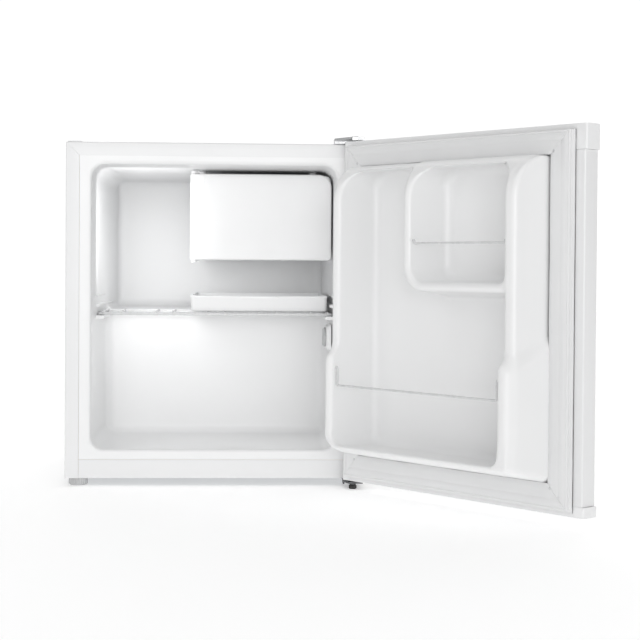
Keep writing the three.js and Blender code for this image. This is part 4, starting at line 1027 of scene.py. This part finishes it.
def sealed_in():
    """The foam, drawn in a little from the formed sheets in front of it, and the coil inside it."""
    for node, body, inset in (("insulation_foam", "cabinet", 4.0), ("door_foam", "door", 1.6)):
        mesh = frame["nodes"][node].data.copy()
        work = bmesh.new()
        work.from_mesh(mesh)
        bmesh.ops.remove_doubles(work, verts=work.verts, dist=2e-6)
        bmesh.ops.recalc_face_normals(work, faces=work.faces)
        work.normal_update()
        inwards = [vertex.normal * vertex.calc_shell_factor() for vertex in work.verts]
        for vertex, normal in zip(work.verts, inwards):
            vertex.co -= normal * inset * MM
        work.to_mesh(mesh)
        work.free()
        as_piece(f"{node}_core", mesh, body, "foam", (node,), 30)
    coil = frame["nodes"]["condenser_coil"]
    coil.data.materials.clear()
    coil.data.materials.append(MATERIALS["copper"])


# ---- studio -------------------------------------------------------------------------------------
AROUND, WALL_BEHIND = 0.34, 1.05  # brightness of the surroundings and of the white wall
WALL_EDGE = (0.62, 0.86)  # how far a direction leans towards +Y where the wall starts and is full
SUNS = {  # degrees to the right of the front, degrees up, degrees of spread, strength
    "front": (0, 3, 40, 0.53),
    "table_height": (0, 4, 20, 0.34),
    "right": (28, 14, 40, 0.24),
    "high_left": (-55, 35, 40, 0.32),
    "overhead": (0, 80, 60, 0.45),
    "behind": (160, 35, 60, 0.50),
}
FILLS = {  # place, width and height in metres, watts
    "upper_fill": ((-0.11, -0.16, 0.37), (0.12, 0.15), 0.14),
    "middle_fill": ((0.0, -0.10, 0.292), (0.22, 0.04), 0.10),
    "lower_fill": ((0.0, -0.215, 0.16), (0.33, 0.15), 0.045),
    "gap_fill": ((0.07, -0.124, 0.459), (0.22, 0.003), 0.004),
}


def camera():
    """Stands in front, a little above the middle, as the lens of a catalogue picture does."""
    yaw, pitch, roll = -0.0453, -0.0155, -0.0071
    turn = Matrix.Rotation(yaw, 3, "Z")
    right = turn @ Vector((1, 0, 0))
    forward = turn @ Vector((0, math.cos(pitch), math.sin(pitch)))
    down = -right.cross(forward)
    across = math.cos(roll) * right + math.sin(roll) * down
    below = -math.sin(roll) * right + math.cos(roll) * down
    data = bpy.data.cameras.new("camera")
    data.sensor_width = 36
    data.lens = 81.95
    data.shift_y = -0.0541
    data.clip_end = 50
    obj = bpy.data.objects.new("camera", data)
    axes = Matrix((across, -below, -forward)).transposed()
    obj.matrix_world = Matrix.Translation((0.05904, -2.37898, 0.32124)) @ axes.to_4x4()
    bpy.context.scene.collection.objects.link(obj)
    bpy.context.scene.camera = obj


def sun_light(name, azimuth, elevation, spread, strength):
    """Parallel light whose source is that many degrees wide."""
    data = bpy.data.lights.new(name, "SUN")
    data.angle = math.radians(spread)
    data.energy = strength
    obj = bpy.data.objects.new(name, data)
    around, up = math.radians(azimuth), math.radians(elevation)
    source = Vector((math.sin(around) * math.cos(up), -math.cos(around) * math.cos(up), math.sin(up)))
    obj.rotation_euler = (-source).to_track_quat("-Z", "Y").to_euler()
    bpy.context.scene.collection.objects.link(obj)


def fill_light(name, at, size, watts):
    """A soft panel facing +Y inside the cabinet, hidden from the camera, that lights what is behind it."""
    data = bpy.data.lights.new(name, "AREA")
    data.shape = "RECTANGLE"
    data.size, data.size_y = size
    data.energy = watts
    obj = bpy.data.objects.new(name, data)
    obj.location = at
    obj.rotation_euler = Vector((0, 1, 0)).to_track_quat("-Z", "Z").to_euler()
    obj.visible_camera = False
    obj.visible_glossy = False
    bpy.context.scene.collection.objects.link(obj)


def white_surroundings():
    """Soft light from all round, with a pure white wall a long way behind the fridge."""
    world = bpy.data.worlds.new("studio")
    world.use_nodes = True
    nodes, links = world.node_tree.nodes, world.node_tree.links
    direction = nodes.new("ShaderNodeTexCoord")
    axes = nodes.new("ShaderNodeSeparateXYZ")
    wall = nodes.new("ShaderNodeMapRange")
    wall.inputs["From Min"].default_value, wall.inputs["From Max"].default_value = WALL_EDGE
    wall.inputs["To Min"].default_value = AROUND
    wall.inputs["To Max"].default_value = WALL_BEHIND
    links.new(direction.outputs["Generated"], axes.inputs["Vector"])
    links.new(axes.outputs["Y"], wall.inputs["Value"])
    links.new(wall.outputs["Result"], nodes["Background"].inputs["Strength"])
    nodes["Background"].inputs["Color"].default_value = (1, 1, 1, 1)
    bpy.context.scene.world = world


def floor_sheet():
    """A wide sheet of white paper that the feet stand on, faintly glowing so that it stays white."""
    half = 8.0
    floor_z = cad_box[0][2]
    mesh = bpy.data.meshes.new("floor")
    mesh.from_pydata([(-half, -half, floor_z), (half, -half, floor_z), (half, half, floor_z),
                      (-half, half, floor_z)], [], [(0, 1, 2, 3)])
    paper = Finish("paper", (0.9, 0.9, 0.9), 0.9, Emission_Color=(1, 1, 1, 1), Emission_Strength=0.35)
    paper.relief(paper.noise(60, 3), 0.05)
    mesh.materials.append(paper.material)
    floor = bpy.data.objects.new("floor", mesh)
    bpy.context.scene.collection.objects.link(floor)


def studio():
    white_surroundings()
    for name, settings in SUNS.items():
        sun_light(name, *settings)
    for name, settings in FILLS.items():
        fill_light(name, *settings)
    floor_sheet()
    view = bpy.context.scene.view_settings
    view.view_transform = "Standard"
    view.look = "None"


camera()
studio()
cabinet()
door()
interior()
hinges_and_feet()
compressor_bay()
sealed_in()
